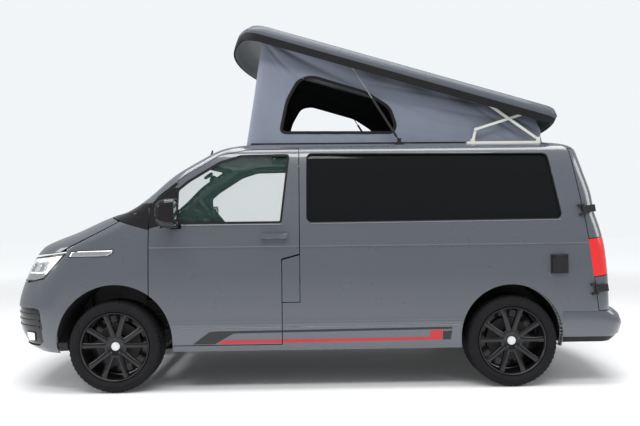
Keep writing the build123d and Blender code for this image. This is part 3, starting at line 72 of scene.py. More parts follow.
# %% Wire: a socket with operators
class Wire:
    def __init__(self, tree, socket=None):
        self.tree = tree
        self.socket = socket

    def node(self, kind, settings=None, sockets=None, out=0):
        made = self.tree.nodes.new("ShaderNode" + kind)
        for name, value in (settings or {}).items():
            setattr(made, name, value)
        for name, value in (sockets or {}).items():
            self.feed(made.inputs[name], value)
        return Wire(self.tree, made.outputs[out])

    def feed(self, target, value):
        if isinstance(value, Wire):
            self.tree.links.new(value.socket, target)
        else:
            target.default_value = value

    def maths(self, operation, first, second):
        return self.node("Math", {"operation": operation}, {0: first, 1: second})

    def __add__(self, other):
        return self.maths("ADD", self, other)

    def __radd__(self, other):
        return self.maths("ADD", other, self)

    def __sub__(self, other):
        return self.maths("SUBTRACT", self, other)

    def __rsub__(self, other):
        return self.maths("SUBTRACT", other, self)

    def __mul__(self, other):
        return self.maths("MULTIPLY", self, other)

    def __rmul__(self, other):
        return self.maths("MULTIPLY", other, self)

    def blend(self, dark, light):
        """A colour between two others, by this value."""
        return self.node("Mix", {"data_type": "RGBA"}, {0: self, 6: dark, 7: light}, out=2)

    def bump(self, strength, distance):
        return self.node("Bump", None, {"Height": self, "Strength": strength, "Distance": distance})


print("shader maths ready")

# %% [markdown]
# ## Finishes
# Each finish is one short function. It could be a painted image, but a formula needs no unwrapping
# and stays sharp from near. They share a start: a Principled shader with its constants set on its own
# sockets, a `Wire` to build what varies from, and `vary`, which feeds it. Object coordinates are
# metres here, so a noise scale of 100 means a grain of about a centimetre.


# %% The start of every finish
def start(name, colour, rough, **constants):
    """A new finish, a wire in its tree, and a call that sets or feeds its shader's sockets."""
    finish = bpy.data.materials.new(name)
    finish.use_nodes = True
    tree = finish.node_tree
    root = Wire(tree)

    def vary(**sockets):
        for socket, value in sockets.items():
            root.feed(tree.nodes["Principled BSDF"].inputs[socket.replace("_", " ")], value)

    vary(Base_Color=(*colour, 1.0), Roughness=rough, **constants)
    return finish, root, vary


def place(root):
    return root.node("TexCoord", out="Object")


def along(root, axis):
    """One coordinate of the place, in metres."""
    return root.node("SeparateXYZ", None, {"Vector": place(root)}, out=axis)


def noise(root, scale, detail=3.0, rough=0.5, vector=None):
    sockets = {"Vector": vector or place(root), "Scale": scale, "Detail": detail, "Roughness": rough}
    return root.node("TexNoise", None, sockets)


def bands(root, way, scale, waver=0.0):
    sockets = {"Vector": place(root), "Scale": scale, "Distortion": waver}
    return root.node("TexWave", {"bands_direction": way}, sockets)


def stretched(root, x, y, z):
    return root.node("Mapping", None, {"Vector": place(root), "Scale": (x, y, z)})


def ramp(value, low, high):
    """0 below low, 1 above high."""
    return value.node("MapRange", None, {"Value": value, "From Min": low, "From Max": high})


def shade(colour, factor):
    return (*(min(1.0, c * factor) for c in colour), 1.0)


def tones(value, colour, dark, light):
    """A colour that varies with a value, between two shades of itself."""
    return value.blend(shade(colour, dark), shade(colour, light))


print("finishes can start")

# %% Gloss paint, lighter and rougher low down: painted reflection of the white floor, with road dust
DUST_AND_REFLECTION_FULL, DUST_AND_REFLECTION_GONE = 0.28, 0.62


def gloss_paint(name, colour, gloss=1.0):
    constants = {"Coat_Weight": 0.9 * gloss, "Coat_Roughness": 0.04, "Specular_IOR_Level": 0.4 * gloss}
    finish, root, vary = start(name, colour, 0.3, **constants)
    cloud = noise(root, 1.6, 2.0)
    # Low down the paint is lighter, a painted reflection of the white floor together with road dust, and
    # rougher with the dust
    dust_and_floor_reflection = (1 - ramp(along(root, "Z"), DUST_AND_REFLECTION_FULL, DUST_AND_REFLECTION_GONE)) * (0.35 + cloud * 0.4)
    fresh = tones(cloud, colour, 0.97, 1.03)
    matt = 0.26 + (1 - gloss) * 0.3
    vary(
        Base_Color=dust_and_floor_reflection.blend(fresh, shade(colour, 1.12)),
        Roughness=matt + dust_and_floor_reflection * 0.14 + noise(root, 9.0) * 0.04,
    )
    return finish


print("paint ready, lighter_and_dusty below", DUST_AND_REFLECTION_GONE, "m")

# %% Plastics: grained, gloss, and the coat of the roof's rails with its black front end
LACQUER = {"Coat_Weight": 0.25, "Coat_Roughness": 0.06, "Specular_IOR_Level": 0.3}
RAIL_BLACK_TO, RAIL_WHITE_FROM = 0.86, 0.90


def grained_plastic(name, colour, rough=0.55, grain=900.0):
    finish, root, vary = start(name, colour, rough, Specular_IOR_Level=0.2)
    cells = root.node("TexVoronoi", {"feature": "F1"}, {"Vector": place(root), "Scale": grain})
    wear = noise(root, 14.0)
    vary(
        Base_Color=tones(wear, colour, 0.85, 1.25),
        Roughness=rough - 0.06 + wear * 0.12,
        Normal=cells.bump(0.25, 0.0006),
    )
    return finish


def gloss_plastic(name, colour, rough=0.08):
    finish, root, vary = start(name, colour, rough, **LACQUER)
    smear = noise(root, 6.0)
    vary(Base_Color=tones(smear, colour, 0.9, 1.1), Roughness=rough + smear * 0.07)
    return finish


def rail_coat(name, white, black):
    finish, root, vary = start(name, white, 0.4, **LACQUER)
    painted = ramp(along(root, "X"), RAIL_BLACK_TO, RAIL_WHITE_FROM)
    smear = noise(root, 6.0)
    vary(Base_Color=painted.blend((*black, 1.0), (*white, 1.0)), Roughness=0.35 + smear * 0.1)
    return finish


print("plastics ready")


# %% Metals: brushed and bright trim, dark underbody steel
def brushed_metal(name, colour, rough):
    finish, root, vary = start(name, colour, rough, Metallic=1.0)
    lines = noise(root, 60.0, 2.0, 0.6, stretched(root, 0.6, 6.0, 6.0))
    vary(Base_Color=tones(lines, colour, 0.86, 1.08), Roughness=rough - 0.06 + lines * 0.14)
    return finish


def underbody_metal(name, colour):
    finish, root, vary = start(name, colour, 0.6, Metallic=0.2)
    grime = noise(root, 7.0, 5.0, 0.65)
    vary(
        Base_Color=tones(grime, colour, 0.7, 1.5),
        Roughness=0.5 + grime * 0.3,
        Normal=grime.bump(0.15, 0.002),
    )
    return finish


print("metals ready")

# %% Rubber, glass and ribbed lamp lenses
PANE_ROUGH = 0.02


def tyre_rubber(name):
    finish, root, vary = start(name, (0.010, 0.010, 0.011), 0.72, Specular_IOR_Level=0.15)
    dust = noise(root, 22.0, 4.0)
    vary(
        Base_Color=dust.blend((0.006, 0.006, 0.007, 1), (0.015, 0.015, 0.016, 1)),
        Roughness=0.62 + dust * 0.2,
        Normal=noise(root, 420.0, 2.0).bump(0.12, 0.0005),
    )
    return finish


def pane(name, colour, alpha, mirror=0.5):
    finish, root, vary = start(name, colour, PANE_ROUGH, IOR=1.5, Specular_IOR_Level=mirror)
    haze = noise(root, 2.2, 2.0)
    vary(Alpha=alpha - 0.015 + haze * 0.03, Roughness=PANE_ROUGH + haze * 0.015)
    return finish


def lens(name, colour, glow):
    constants = {"Coat_Weight": 1.0, "Coat_Roughness": 0.02, "Emission_Strength": glow}
    finish, root, vary = start(name, colour, 0.1, **constants)
    ribs = bands(root, "Z", 46.0)
    vary(
        Base_Color=tones(ribs, colour, 0.75, 1.1),
        Emission_Color=tones(ribs, colour, 0.7, 1.0),
        Normal=ribs.bump(0.2, 0.001),
    )
    return finish


print("rubber, glass and lenses ready")


# %% Cloths and board: tent canvas, seat cloth, lining, laminate
def weave(root, scale):
    return bands(root, "X", scale, 0.4) * 0.5 + bands(root, "Z", scale, 0.4) * 0.5


def woven_cloth(name, colour, scale, rough=0.85, depth=0.3, crease_shade=None):
    constants = {"Sheen_Weight": 0.25, "Sheen_Roughness": 0.5, "Specular_IOR_Level": 0.25}
    finish, root, vary = start(name, colour, rough, **constants)
    threads = weave(root, scale)
    patch = noise(root, 3.0, 4.0)
    cloth = tones(patch * 0.6 + threads * 0.4, colour, 0.82, 1.16)
    # Where a fold attribute is high the cloth darkens to 30% of its colour: painted shade in the creases
    if crease_shade:
        crease_shade_attribute = root.node("Attribute", {"attribute_name": crease_shade}, out="Fac")
        cloth = crease_shade_attribute.blend(cloth, shade(colour, 0.30))
    vary(Base_Color=cloth, Roughness=rough - 0.05 + threads * 0.1, Normal=threads.bump(depth, 0.0008))
    return finish


def laminate(name, colour):
    finish, root, vary = start(name, colour, 0.4)
    grain = noise(root, 18.0, 5.0, 0.6, stretched(root, 0.5, 4.0, 6.0))
    vary(Base_Color=tones(grain, colour, 0.8, 1.1), Roughness=0.34 + grain * 0.14)
    return finish


print("cloths and board ready")

# %% The van's own finishes
GREY = (0.082, 0.089, 0.106)
OFF_WHITE = (0.66, 0.67, 0.62)
FINISH = {
    "paint": gloss_paint("grey_gloss_paint", GREY),
    "roof_paint": gloss_paint("grey_roof_paint", GREY, 0.25),
    "black_gloss": gloss_plastic("piano_black", (0.010, 0.010, 0.012)),
    "black_grain": grained_plastic("black_grained_plastic", (0.016, 0.016, 0.018)),
    "black_trim": grained_plastic("door_card_plastic", (0.022, 0.022, 0.024), 0.6, 600.0),
    "rubber": grained_plastic("black_seal_rubber", (0.010, 0.010, 0.011), 0.7, 1500.0),
    "bright": brushed_metal("bright_trim", (0.82, 0.83, 0.84), 0.12),
    "alloy": gloss_plastic("white_powder_coat", OFF_WHITE, 0.35),
    "rail": rail_coat("rail_powder_coat", OFF_WHITE, (0.012, 0.012, 0.013)),
    "steel": brushed_metal("bare_steel", (0.42, 0.42, 0.43), 0.4),
    "under": underbody_metal("underbody_paint", (0.018, 0.018, 0.019)),
    "iron": underbody_metal("engine_iron", (0.05, 0.05, 0.052)),
    "wheel_black": gloss_plastic("wheel_black_lacquer", (0.006, 0.006, 0.007), 0.22),
    "tyre": tyre_rubber("tyre_rubber"),
    "clear_glass": pane("green_tinted_glass", (0.095, 0.195, 0.168), 0.09),
    "dark_glass": pane("privacy_glass", (0.005, 0.006, 0.007), 0.94, mirror=0.2),
    "lamp_glass": pane("lamp_cover", (0.75, 0.78, 0.80), 0.16),
    "mirror_glass": brushed_metal("mirror_glass", (0.85, 0.87, 0.88), 0.03),
    "reflector": brushed_metal("lamp_reflector", (0.80, 0.81, 0.83), 0.16),
    "light_bar": lens("daylight_bar", (0.95, 0.97, 1.0), 1.1),
    "red_lens": lens("red_tail_lens", (0.62, 0.012, 0.014), 0.35),
    "canvas": woven_cloth("blue_grey_canvas", (0.185, 0.208, 0.262), 300.0, crease_shade="crease_shade"),
    "seat": woven_cloth("dark_seat_cloth", (0.030, 0.031, 0.034), 420.0, 0.9, 0.45),
    "lining": woven_cloth("pale_lining", (0.30, 0.31, 0.30), 500.0, 0.95, 0.2),
    "board": laminate("pale_board", (0.42, 0.39, 0.35)),
    "stripe_black": gloss_plastic("black_stripe", (0.011, 0.011, 0.013), 0.22),
    "stripe_red": gloss_plastic("red_stripe", (0.50, 0.020, 0.028), 0.25),
    "plate": gloss_plastic("blank_plate", (0.70, 0.71, 0.72), 0.3),
}
print("finishes:", len(FINISH))

# %% [markdown]
# ## The body's surface as a function
# The solids are ruled between level cuts, so a bare copy shows a kink at each cut. The real panels
# are smooth. They could be remodelled by hand with subdivision, but would then drift off the solids.
# So the same cuts are kept here with their set-backs, and a monotone curve through each column gives
# the smooth outline at any height. Panels and trim are then pulled onto that surface.

# %% The level cuts and the smooth outline between them
CUTS = np.array(
    [
        # height, nose, tail, side, nose radius, nose bow (set-backs and radii in metres)
        (0.300, 0.150, 0.130, 0.040, 0.400, 2.6),
        (0.350, 0.070, 0.112, 0.018, 0.410, 2.6),
        (0.480, 0.010, 0.106, 0.002, 0.420, 2.6),
        (0.620, 0.000, 0.102, 0.000, 0.430, 2.6),
        (0.830, 0.050, 0.108, 0.000, 0.440, 2.6),
        (1.000, 0.130, 0.122, 0.002, 0.450, 2.6),
        (1.082, 0.190, 0.134, 0.005, 0.440, 2.5),
        (1.210, 0.480, 0.165, 0.018, 0.380, 2.4),
        (1.330, 0.752, 0.200, 0.038, 0.300, 2.3),
        (1.352, 0.822, 0.203, 0.042, 0.190, 2.2),
        (1.451, 0.979, 0.216, 0.064, 0.140, 2.2),
        (1.640, 1.209, 0.271, 0.106, 0.130, 2.2),
        (1.760, 1.412, 0.307, 0.140, 0.120, 2.2),
        (1.816, 1.517, 0.324, 0.166, 0.110, 2.2),
        (1.850, 1.602, 0.362, 0.202, 0.110, 2.2),
        (1.872, 1.707, 0.422, 0.248, 0.110, 2.2),
        (1.886, 1.852, 0.502, 0.297, 0.110, 2.2),
    ]
)
NOSE, TAIL, SIDE, NOSE_R, NOSE_BOW = range(1, 6)
HALF_LENGTH = 2.452
HALF_WIDTH = 0.952
TAIL_R = 0.110
TAIL_BOW = 3.0


def monotone(levels, values):
    """Slopes of a curve through the values that never overshoots them."""
    runs = np.diff(levels)
    rises = np.diff(values) / runs
    slopes = np.zeros_like(values)
    slopes[0], slopes[-1] = rises[0], rises[-1]
    for i in range(1, len(values) - 1):
        if rises[i - 1] * rises[i] > 0:
            a, b = 2 * runs[i] + runs[i - 1], runs[i] + 2 * runs[i - 1]
            slopes[i] = (a + b) / (a / rises[i - 1] + b / rises[i])
    return slopes


LEVELS = CUTS[:, 0]
SLOPES = [monotone(LEVELS, CUTS[:, k]) for k in range(CUTS.shape[1])]


def column(k, z, smooth):
    """Column k of the cuts at heights z: along the smooth curve, or straight between cuts."""
    z = np.clip(z, LEVELS[0], LEVELS[-1])
    if not smooth:
        return np.interp(z, LEVELS, CUTS[:, k])
    i = np.clip(np.searchsorted(LEVELS, z, side="right") - 1, 0, len(LEVELS) - 2)
    run = LEVELS[i + 1] - LEVELS[i]
    t = (z - LEVELS[i]) / run
    low, high = CUTS[i, k], CUTS[i + 1, k]
    return (
        low * (1 + 2 * t) * (1 - t) ** 2
        + high * t * t * (3 - 2 * t)
        + SLOPES[k][i] * run * t * (1 - t) ** 2
        + SLOPES[k][i + 1] * run * t * t * (t - 1)
    )


print("level cuts:", len(LEVELS), "from", LEVELS[0], "to", LEVELS[-1], "m")


# %% The outline at a height, and how far a point is from it
def outline_at(z, smooth=True):
    """Half width, and for each end: tip, corner centre, corner radius, bow radius, bow end angle."""
    half = HALF_WIDTH - column(SIDE, z, smooth)
    nose = -HALF_LENGTH + column(NOSE, z, smooth)
    tail = HALF_LENGTH - column(TAIL, z, smooth)
    nose_r = column(NOSE_R, z, smooth)
    nose_bow = column(NOSE_BOW, z, smooth)
    nose_run = np.sqrt((nose_bow - nose_r) ** 2 - (half - nose_r) ** 2)
    tail_run = np.sqrt((TAIL_BOW - TAIL_R) ** 2 - (half - TAIL_R) ** 2)
    front = (nose, nose + nose_bow - nose_run, nose_r, nose_bow, np.arctan2(half - nose_r, nose_run))
    rear = (
        tail,
        tail - TAIL_BOW + tail_run,
        TAIL_R + 0 * z,
        TAIL_BOW + 0 * z,
        np.arctan2(half - TAIL_R, tail_run),
    )
    return half, front, rear


def reach(x, y, z, smooth):
    """Signed distance in plan from the outline, and the outward direction there."""
    half, front, rear = outline_at(z, smooth)
    y_abs = np.abs(y)
    side = np.where(y < 0, -1.0, 1.0)
    gap = y_abs - half
    dx = np.zeros_like(x)
    dy = np.ones_like(x)
    for sign, (tip, centre, radius, bow, turn) in ((-1.0, front), (1.0, rear)):
        run = sign * (x - centre)
        bow_centre = tip - sign * bow
        along = sign * (x - bow_centre)
        at_bow = (np.arctan2(y_abs, along) < turn) & (run > 0)
        at_corner = (run > 0) & ~at_bow
        across = y_abs - (half - radius)
        far = np.hypot(run, across) + 1e-12
        gap = np.where(at_corner, far - radius, gap)
        dx = np.where(at_corner, sign * run / far, dx)
        dy = np.where(at_corner, across / far, dy)
        bow_far = np.hypot(along, y_abs)
        gap = np.where(at_bow, bow_far - bow, gap)
        dx = np.where(at_bow, sign * along / bow_far, dx)
        dy = np.where(at_bow, y_abs / bow_far, dy)
    return gap, dx, dy * side


WIDEST_CUT = 0.62
half, front, rear = outline_at(np.float64(WIDEST_CUT))
print("length at the widest cut:", round(float(rear[0] - front[0]), 3), "m")


# %% Points of the surface, from the side view and from the front view
def side_y(x, z):
    """Half width of the smooth body at a point of the side view."""
    half, front, rear = outline_at(z)
    y = half + 0 * x
    for sign, (tip, centre, radius, bow, turn) in ((-1.0, front), (1.0, rear)):
        run = sign * (x - centre)
        corner = half - radius + np.sqrt(np.maximum(radius**2 - run**2, 0.0))
        y = np.where(run > 0, corner, y)
    return y


def end_x(y, z, sign):
    """The nose (sign -1) or tail (sign +1) of the smooth body at a point of the front view."""
    half, front, rear = outline_at(z)
    tip, centre, radius, bow, turn = front if sign < 0 else rear
    y = np.abs(y)
    on_bow = tip - sign * (bow - np.sqrt(np.maximum(bow**2 - y**2, 0.0)))
    across = y - (half - radius)
    on_corner = centre + sign * np.sqrt(np.maximum(radius**2 - across**2, 0.0))
    return np.where(y < bow * np.sin(turn), on_bow, on_corner)


widths = [round(float(side_y(0.0, z)), 3) for z in (0.35, 1.08, 1.82)]
print("half width at the sill, waist and gutter:", widths)

# %% The pressed lines of the flanks
# Height, how far the fold stands out, fade above and below
FOLDS = [(1.082, 0.0035, 0.050, 0.012), (0.519, 0.0028, 0.040, 0.010), (0.479, -0.0028, 0.010, 0.035)]
FOLD_FRONT, FRONT_FADE = -1.95, 0.25
FOLD_REAR, REAR_FADE = 2.08, 0.1
FOLD_TOP = 1.20
FLANK_FACING = 0.9
UNDERCUT = 0.6


def folds(x, z, dy):
    """Outward push of the pressed lines, on the sides only and faded out at both ends."""
    push = np.zeros_like(z)
    for level, out, above, below in FOLDS:
        up = z - level
        push += out * np.where(up >= 0, np.exp(-up / above), -UNDERCUT * np.exp(up / below))
    ends = np.clip((x - FOLD_FRONT) / FRONT_FADE, 0, 1) * np.clip((FOLD_REAR - x) / REAR_FADE, 0, 1)
    return push * ends * (np.abs(dy) > FLANK_FACING) * (z < FOLD_TOP)


print("folds at heights", [level for level, *_ in FOLDS])

# %% [markdown]
# ## Panels
# A panel is pressed sheet, painted outside. It could be modelled anew with subdivision, but a copy of
# its solid keeps every edge and gap where the solid has them. The copy is sliced into a grid fine
# enough to bend, then moved by the difference between the smooth outline and the straight one. Faces
# near the outside take the paint, faces at the inner wall take the lining.


# %% Weld, cut and finish a mesh
def welded(mesh):
    """A bmesh of a solid with its doubled corners joined."""
    work = bmesh.new()
    work.from_mesh(mesh)
    bmesh.ops.remove_doubles(work, verts=work.verts, dist=1e-5)
    return work


def bisect(work, at, normal, snap=1e-6):
    whole = work.verts[:] + work.edges[:] + work.faces[:]
    bmesh.ops.bisect_plane(work, geom=whole, dist=snap, plane_co=at, plane_no=normal)


def sliced(mesh, cuts):
    """The mesh cut by planes: cuts maps an axis number to the places of its planes."""
    work = welded(mesh)
    for axis, places in cuts.items():
        low = min(v.co[axis] for v in work.verts)
        high = max(v.co[axis] for v in work.verts)
        normal = Vector((axis == 0, axis == 1, axis == 2))
        for at in places:
            if low + 1e-4 < at < high - 1e-4:
                bisect(work, normal * at, normal)
    bmesh.ops.remove_doubles(work, verts=work.verts, dist=2e-4)
    bmesh.ops.dissolve_degenerate(work, edges=work.edges, dist=1e-5)
    return work


def finished(work, name, keys):
    """A named mesh from a bmesh, with its finishes in order."""
    mesh = bpy.data.meshes.new(name)
    work.to_mesh(mesh)
    work.free()
    for key in keys:
        mesh.materials.append(FINISH[key])
    return mesh


def smooth_faces(mesh, angle=32.0):
    mesh.shade_smooth()
    mesh.set_sharp_from_angle(angle=radians(angle))


def rows(items, what):
    """Three numbers for each vertex or face of a mesh, one row each."""
    flat = np.zeros(len(items) * 3)
    items.foreach_get(what, flat)
    return flat.reshape(-1, 3)


def carry(piece, node=None, body=None):
    """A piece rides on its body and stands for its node."""
    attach(piece, body or owner[node])
    if node:
        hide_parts(node)
    return piece


def new_piece(name, mesh):
    piece = bpy.data.objects.new(name, mesh)
    bpy.context.scene.collection.objects.link(piece)
    return piece


print("mesh helpers ready")


# %% Normals of the smooth surface
def shade_as_surface(mesh, outer, fold):
    """Normals of the smooth surface on the outer faces, so that thin triangles leave no speck."""

    def out(x, y, z):
        gap, dx, dy = reach(x, y, z, True)
        return gap - folds(x, z, dy) if fold else gap

    x, y, z = rows(mesh.vertices, "co").T
    h = 0.003
    slope = [
        out(x + h, y, z) - out(x - h, y, z),
        out(x, y + h, z) - out(x, y - h, z),
        out(x, y, z + h) - out(x, y, z - h),
    ]
    slope = np.column_stack(slope)
    slope /= np.linalg.norm(slope, axis=1)[:, None] + 1e-12
    face_of = np.zeros(len(mesh.loops), np.int32)
    for face in mesh.polygons:
        face_of[face.loop_start : face.loop_start + face.loop_total] = face.index
    at = np.zeros(len(mesh.loops), np.int32)
    mesh.loops.foreach_get("vertex_index", at)
    mesh.normals_split_custom_set(np.where(outer[face_of][:, None], slope[at], 0.0).tolist())


print("surface normals ready")

# %% Pull a panel onto the smooth surface
JOINTS = frame["record"]["behaviour"]["joints"]
BONNET_PIN = next(joint["pos_m"] for joint in JOINTS if joint["name"] == "open_bonnet")
EYE_R, EYE_Y, EYE_HALF = 0.030, 0.454, 0.015


def hinge_eye(x, y, z):
    """The bonnet's two hinge eyes, which stay round their pin."""
    near_pin = np.hypot(x - BONNET_PIN[0], z - BONNET_PIN[2]) < EYE_R
    return near_pin & (np.abs(np.abs(y) - EYE_Y) < EYE_HALF)


SKIN, INNER, EDGE, BLACKED = range(4)
WALL, EDGE_DEPTH, FOLD_DEPTH = 0.030, 0.004, 0.03
ON_SURFACE = 0.0025
EDGE_ON, FACING_OUT = 0.3, 0.25
ROOF_Z, SHADED_TO = 1.80, 1.84


def panel(node, cuts, skin="paint", inner="black_trim", edge=None, fold=False, black=None):
    """A node's solid, sliced, pulled onto the smooth surface and finished face by face."""
    name = "skin_" + node
    mesh = finished(sliced(nodes[node].data, cuts), name, (skin, inner, edge or skin, "black_gloss"))
    x, y, z = rows(mesh.vertices, "co").T
    straight, dx, dy = reach(x, y, z, False)
    smooth, dx, dy = reach(x, y, z, True)
    push = np.where(hinge_eye(x, y, z), 0.0, straight - smooth)
    if fold:
        push = push + folds(x, z, dy) * np.clip(1 + smooth / FOLD_DEPTH, 0, 1)
    mesh.vertices.foreach_set("co", np.column_stack([x + dx * push, y + dy * push, z]).ravel())
    mesh.update()
    x, y, z = rows(mesh.polygons, "center").T
    nx, ny, nz = rows(mesh.polygons, "normal").T
    gap, dx, dy = reach(x, y, z, True)
    facing = nx * dx + ny * dy
    index = np.where((np.abs(facing) < EDGE_ON) & (gap < -EDGE_DEPTH), EDGE, SKIN)
    index = np.where(gap < -WALL, INNER, index)
    top = z > ROOF_Z
    index = np.where(top & (index == EDGE), SKIN, index)
    index = np.where(top & (nz < -EDGE_ON), INNER, index)
    if black is not None:
        index = np.where(black(x, y, z) & (index != INNER), BLACKED, index)
    mesh.polygons.foreach_set("material_index", index.astype(np.int32))
    smooth_faces(mesh)
    bulge = folds(x, z, dy) if fold else 0.0
    outer = (np.abs(gap - bulge) < ON_SURFACE) & (z < SHADED_TO) & (np.abs(facing) > FACING_OUT)
    shade_as_surface(mesh, outer, fold)
    return carry(new_piece(name, mesh), node)


print("panels ready, hinge eyes kept at", [round(c, 3) for c in BONNET_PIN])


# %% Where the panels are cut
def grid(low, high, step):
    return [low + step * k for k in range(int((high - low) / step) + 1)]


UP = grid(0.31, 1.88, 0.035)
NEAR_FOLD = (-0.03, -0.015, -0.006, -0.0005, 0.0005, 0.006, 0.02, 0.045)
FOLD_UP = sorted(UP + [level + d for level, *_ in FOLDS for d in NEAR_FOLD])
ALONG = grid(-2.40, 2.40, 0.08)
ROOF_ALONG = grid(-1.75, 2.2, 0.07)
FINE_ALONG = grid(-2.44, -1.30, 0.04)
ACROSS = grid(-0.90, 0.90, 0.06)
print("cuts:", len(FOLD_UP), "up the sides,", len(ALONG), "along,", len(ACROSS), "across")

# %% Every outer panel
COWL_X, COWL_Z = -1.20, 1.42
SAIL_X, SAIL_Z = -1.075, 1.235


def cowl(x, y, z):
    """The strip below the windscreen and the pillar feet beside it."""
    return (x < COWL_X) & (z < COWL_Z)


def sail(x, y, z):
    """The black triangle of the door ahead of its glass, up to the window line."""
    return (x < SAIL_X) & (z > SAIL_Z)


SIDE_CUTS = {2: FOLD_UP, 0: ALONG}
NOSE_CUTS = {2: UP, 0: FINE_ALONG, 1: ACROSS}
LINED_SIDE = {"fold": True, "inner": "lining", "edge": "rubber"}
CAB_DOOR = {"fold": True, "edge": "rubber", "black": sail}
for node, cuts, options in (
    ("body_side_left", SIDE_CUTS, LINED_SIDE),
    ("body_side_right", SIDE_CUTS, LINED_SIDE),
    ("sliding_door", SIDE_CUTS, LINED_SIDE),
    ("door_left", SIDE_CUTS, CAB_DOOR),
    ("door_right", SIDE_CUTS, CAB_DOOR),
    ("fuel_flap", SIDE_CUTS, {"fold": True}),
    ("front_wings", {2: UP, 0: FINE_ALONG}, {"inner": "under"}),
    ("roof_frame", {2: UP, 0: ROOF_ALONG, 1: ACROSS}, {"inner": "lining", "black": cowl}),
    ("bonnet", NOSE_CUTS, {"inner": "under"}),
    ("rear_door_left", {2: UP, 1: ACROSS}, {"edge": "rubber"}),
    ("rear_door_right", {2: UP, 1: ACROSS}, {"edge": "rubber"}),
):
    skin = panel(node, cuts, **options)
    print(skin.name, len(skin.data.polygons), "faces")

# %% [markdown]
# ## Plain finishes on solids that need no new shape
# Underbody parts, the roof's linkage and the boards have their full shape in the solids. Each could
# get a copy to dress, but a material set on the solid itself moves with it and costs no mesh.

# %% Finishes straight onto the solids
PLAIN = {
    "under": [
        "front_structure", "front_subframe", "rear_axle", "floor_pan", "fuel_tank",
        "knuckle_left", "knuckle_right",
    ],
    "black_grain": ["wheel_housings", "mains_inlet", "mains_lid"],
    "iron": ["engine_block", "exhaust"],
    "clear_glass": ["windscreen", "door_glass_left", "door_glass_right"],
    "dark_glass": ["side_glass", "rear_glass_left", "rear_glass_right"],
    "black_gloss": ["corner_trims"],
    "alloy": ["scissor_arm", "scissor_stay", "scissor_link"],
    "rail": ["lift_rails"],
    "steel": ["strut_rods"],
    "black_trim": [
        "strut_barrels", "rear_hinge_pins", "rear_straps_left", "rear_straps_right",
        "dashboard", "steering_wheel",
    ],
    "board": ["side_unit"],
}


def coat(node, key):
    mesh = nodes[node].data
    mesh.materials.clear()
    mesh.materials.append(FINISH[key])


for key, names in PLAIN.items():
    for node in names:
        coat(node, key)
left_over = set(nodes) - {n for names in PLAIN.values() for n in names}
print("nodes with a skin of their own:", sorted(left_over))

# %% [markdown]
# ## Slabs bent onto the body
# Stripes, seals, strips and lamp parts all lie on the skin. A shrinkwrap modifier could lay them on,
# but it pulls thin edges out of true. So each starts as a flat outline in the side view or the front
# view, is cut into a grid, given a thickness and then wrapped by formula: the flat coordinates go
# through the body's surface, and the thickness is measured outwards from it.


# %% Wraps and outlines
def on_flank(side):
    """A wrap onto the left (-1) or the right (+1) flank, from the side view."""
    return lambda u, v, t: np.column_stack([u, side * (side_y(u, v) + t), v])


def on_end(way):
    """A wrap onto the nose (-1) or the tail (+1), from the front view."""
    return lambda u, v, t: np.column_stack([end_x(u, v, way) + way * t, u, v])


on_left, on_right = on_flank(-1.0), on_flank(1.0)
on_nose, on_tail = on_end(-1.0), on_end(1.0)
SIDES = (("left", -1.0, on_left), ("right", 1.0, on_right))


def oblong(left, right, foot, head):
    return [(left, foot), (right, foot), (right, head), (left, head)]


def circle(u, v, radius, count):
    turns = np.linspace(0, 2 * pi, count, endpoint=False)
    return [(u + radius * cos(a), v + radius * sin(a)) for a in turns]


def rounded(points, radius, steps=5):
    """An outline with its corners rounded."""
    path = []
    for i, corner in enumerate(points):
        before, here = Vector(points[i - 1]), Vector(corner)
        after = Vector(points[(i + 1) % len(points)])
        cut = min(radius, 0.45 * (before - here).length, 0.45 * (after - here).length)
        enter = here + (before - here).normalized() * cut
        leave = here + (after - here).normalized() * cut
        for k in range(steps + 1):
            t = k / steps
            path.append(tuple(enter * (1 - t) ** 2 + here * 2 * t * (1 - t) + leave * t * t))
    return path


def grown(points, by):
    """An outline moved outwards by a distance, corner by corner."""
    area = sum(a[0] * b[1] - b[0] * a[1] for a, b in zip(points, points[1:] + points[:1]))
    way = 1.0 if area > 0 else -1.0
    moved = []
    for i, corner in enumerate(points):
        here = Vector(corner)
        into = (here - Vector(points[i - 1])).normalized()
        out = (Vector(points[(i + 1) % len(points)]) - here).normalized()
        square = (Vector((into.y, -into.x)) + Vector((out.y, -out.x))) * way
        scale = max(0.3, square.length_squared / 2)
        moved.append(tuple(here + square * by / scale))
    return moved


print("wraps ready")

# %% The slab itself
SOFT_EDGE = 0.55


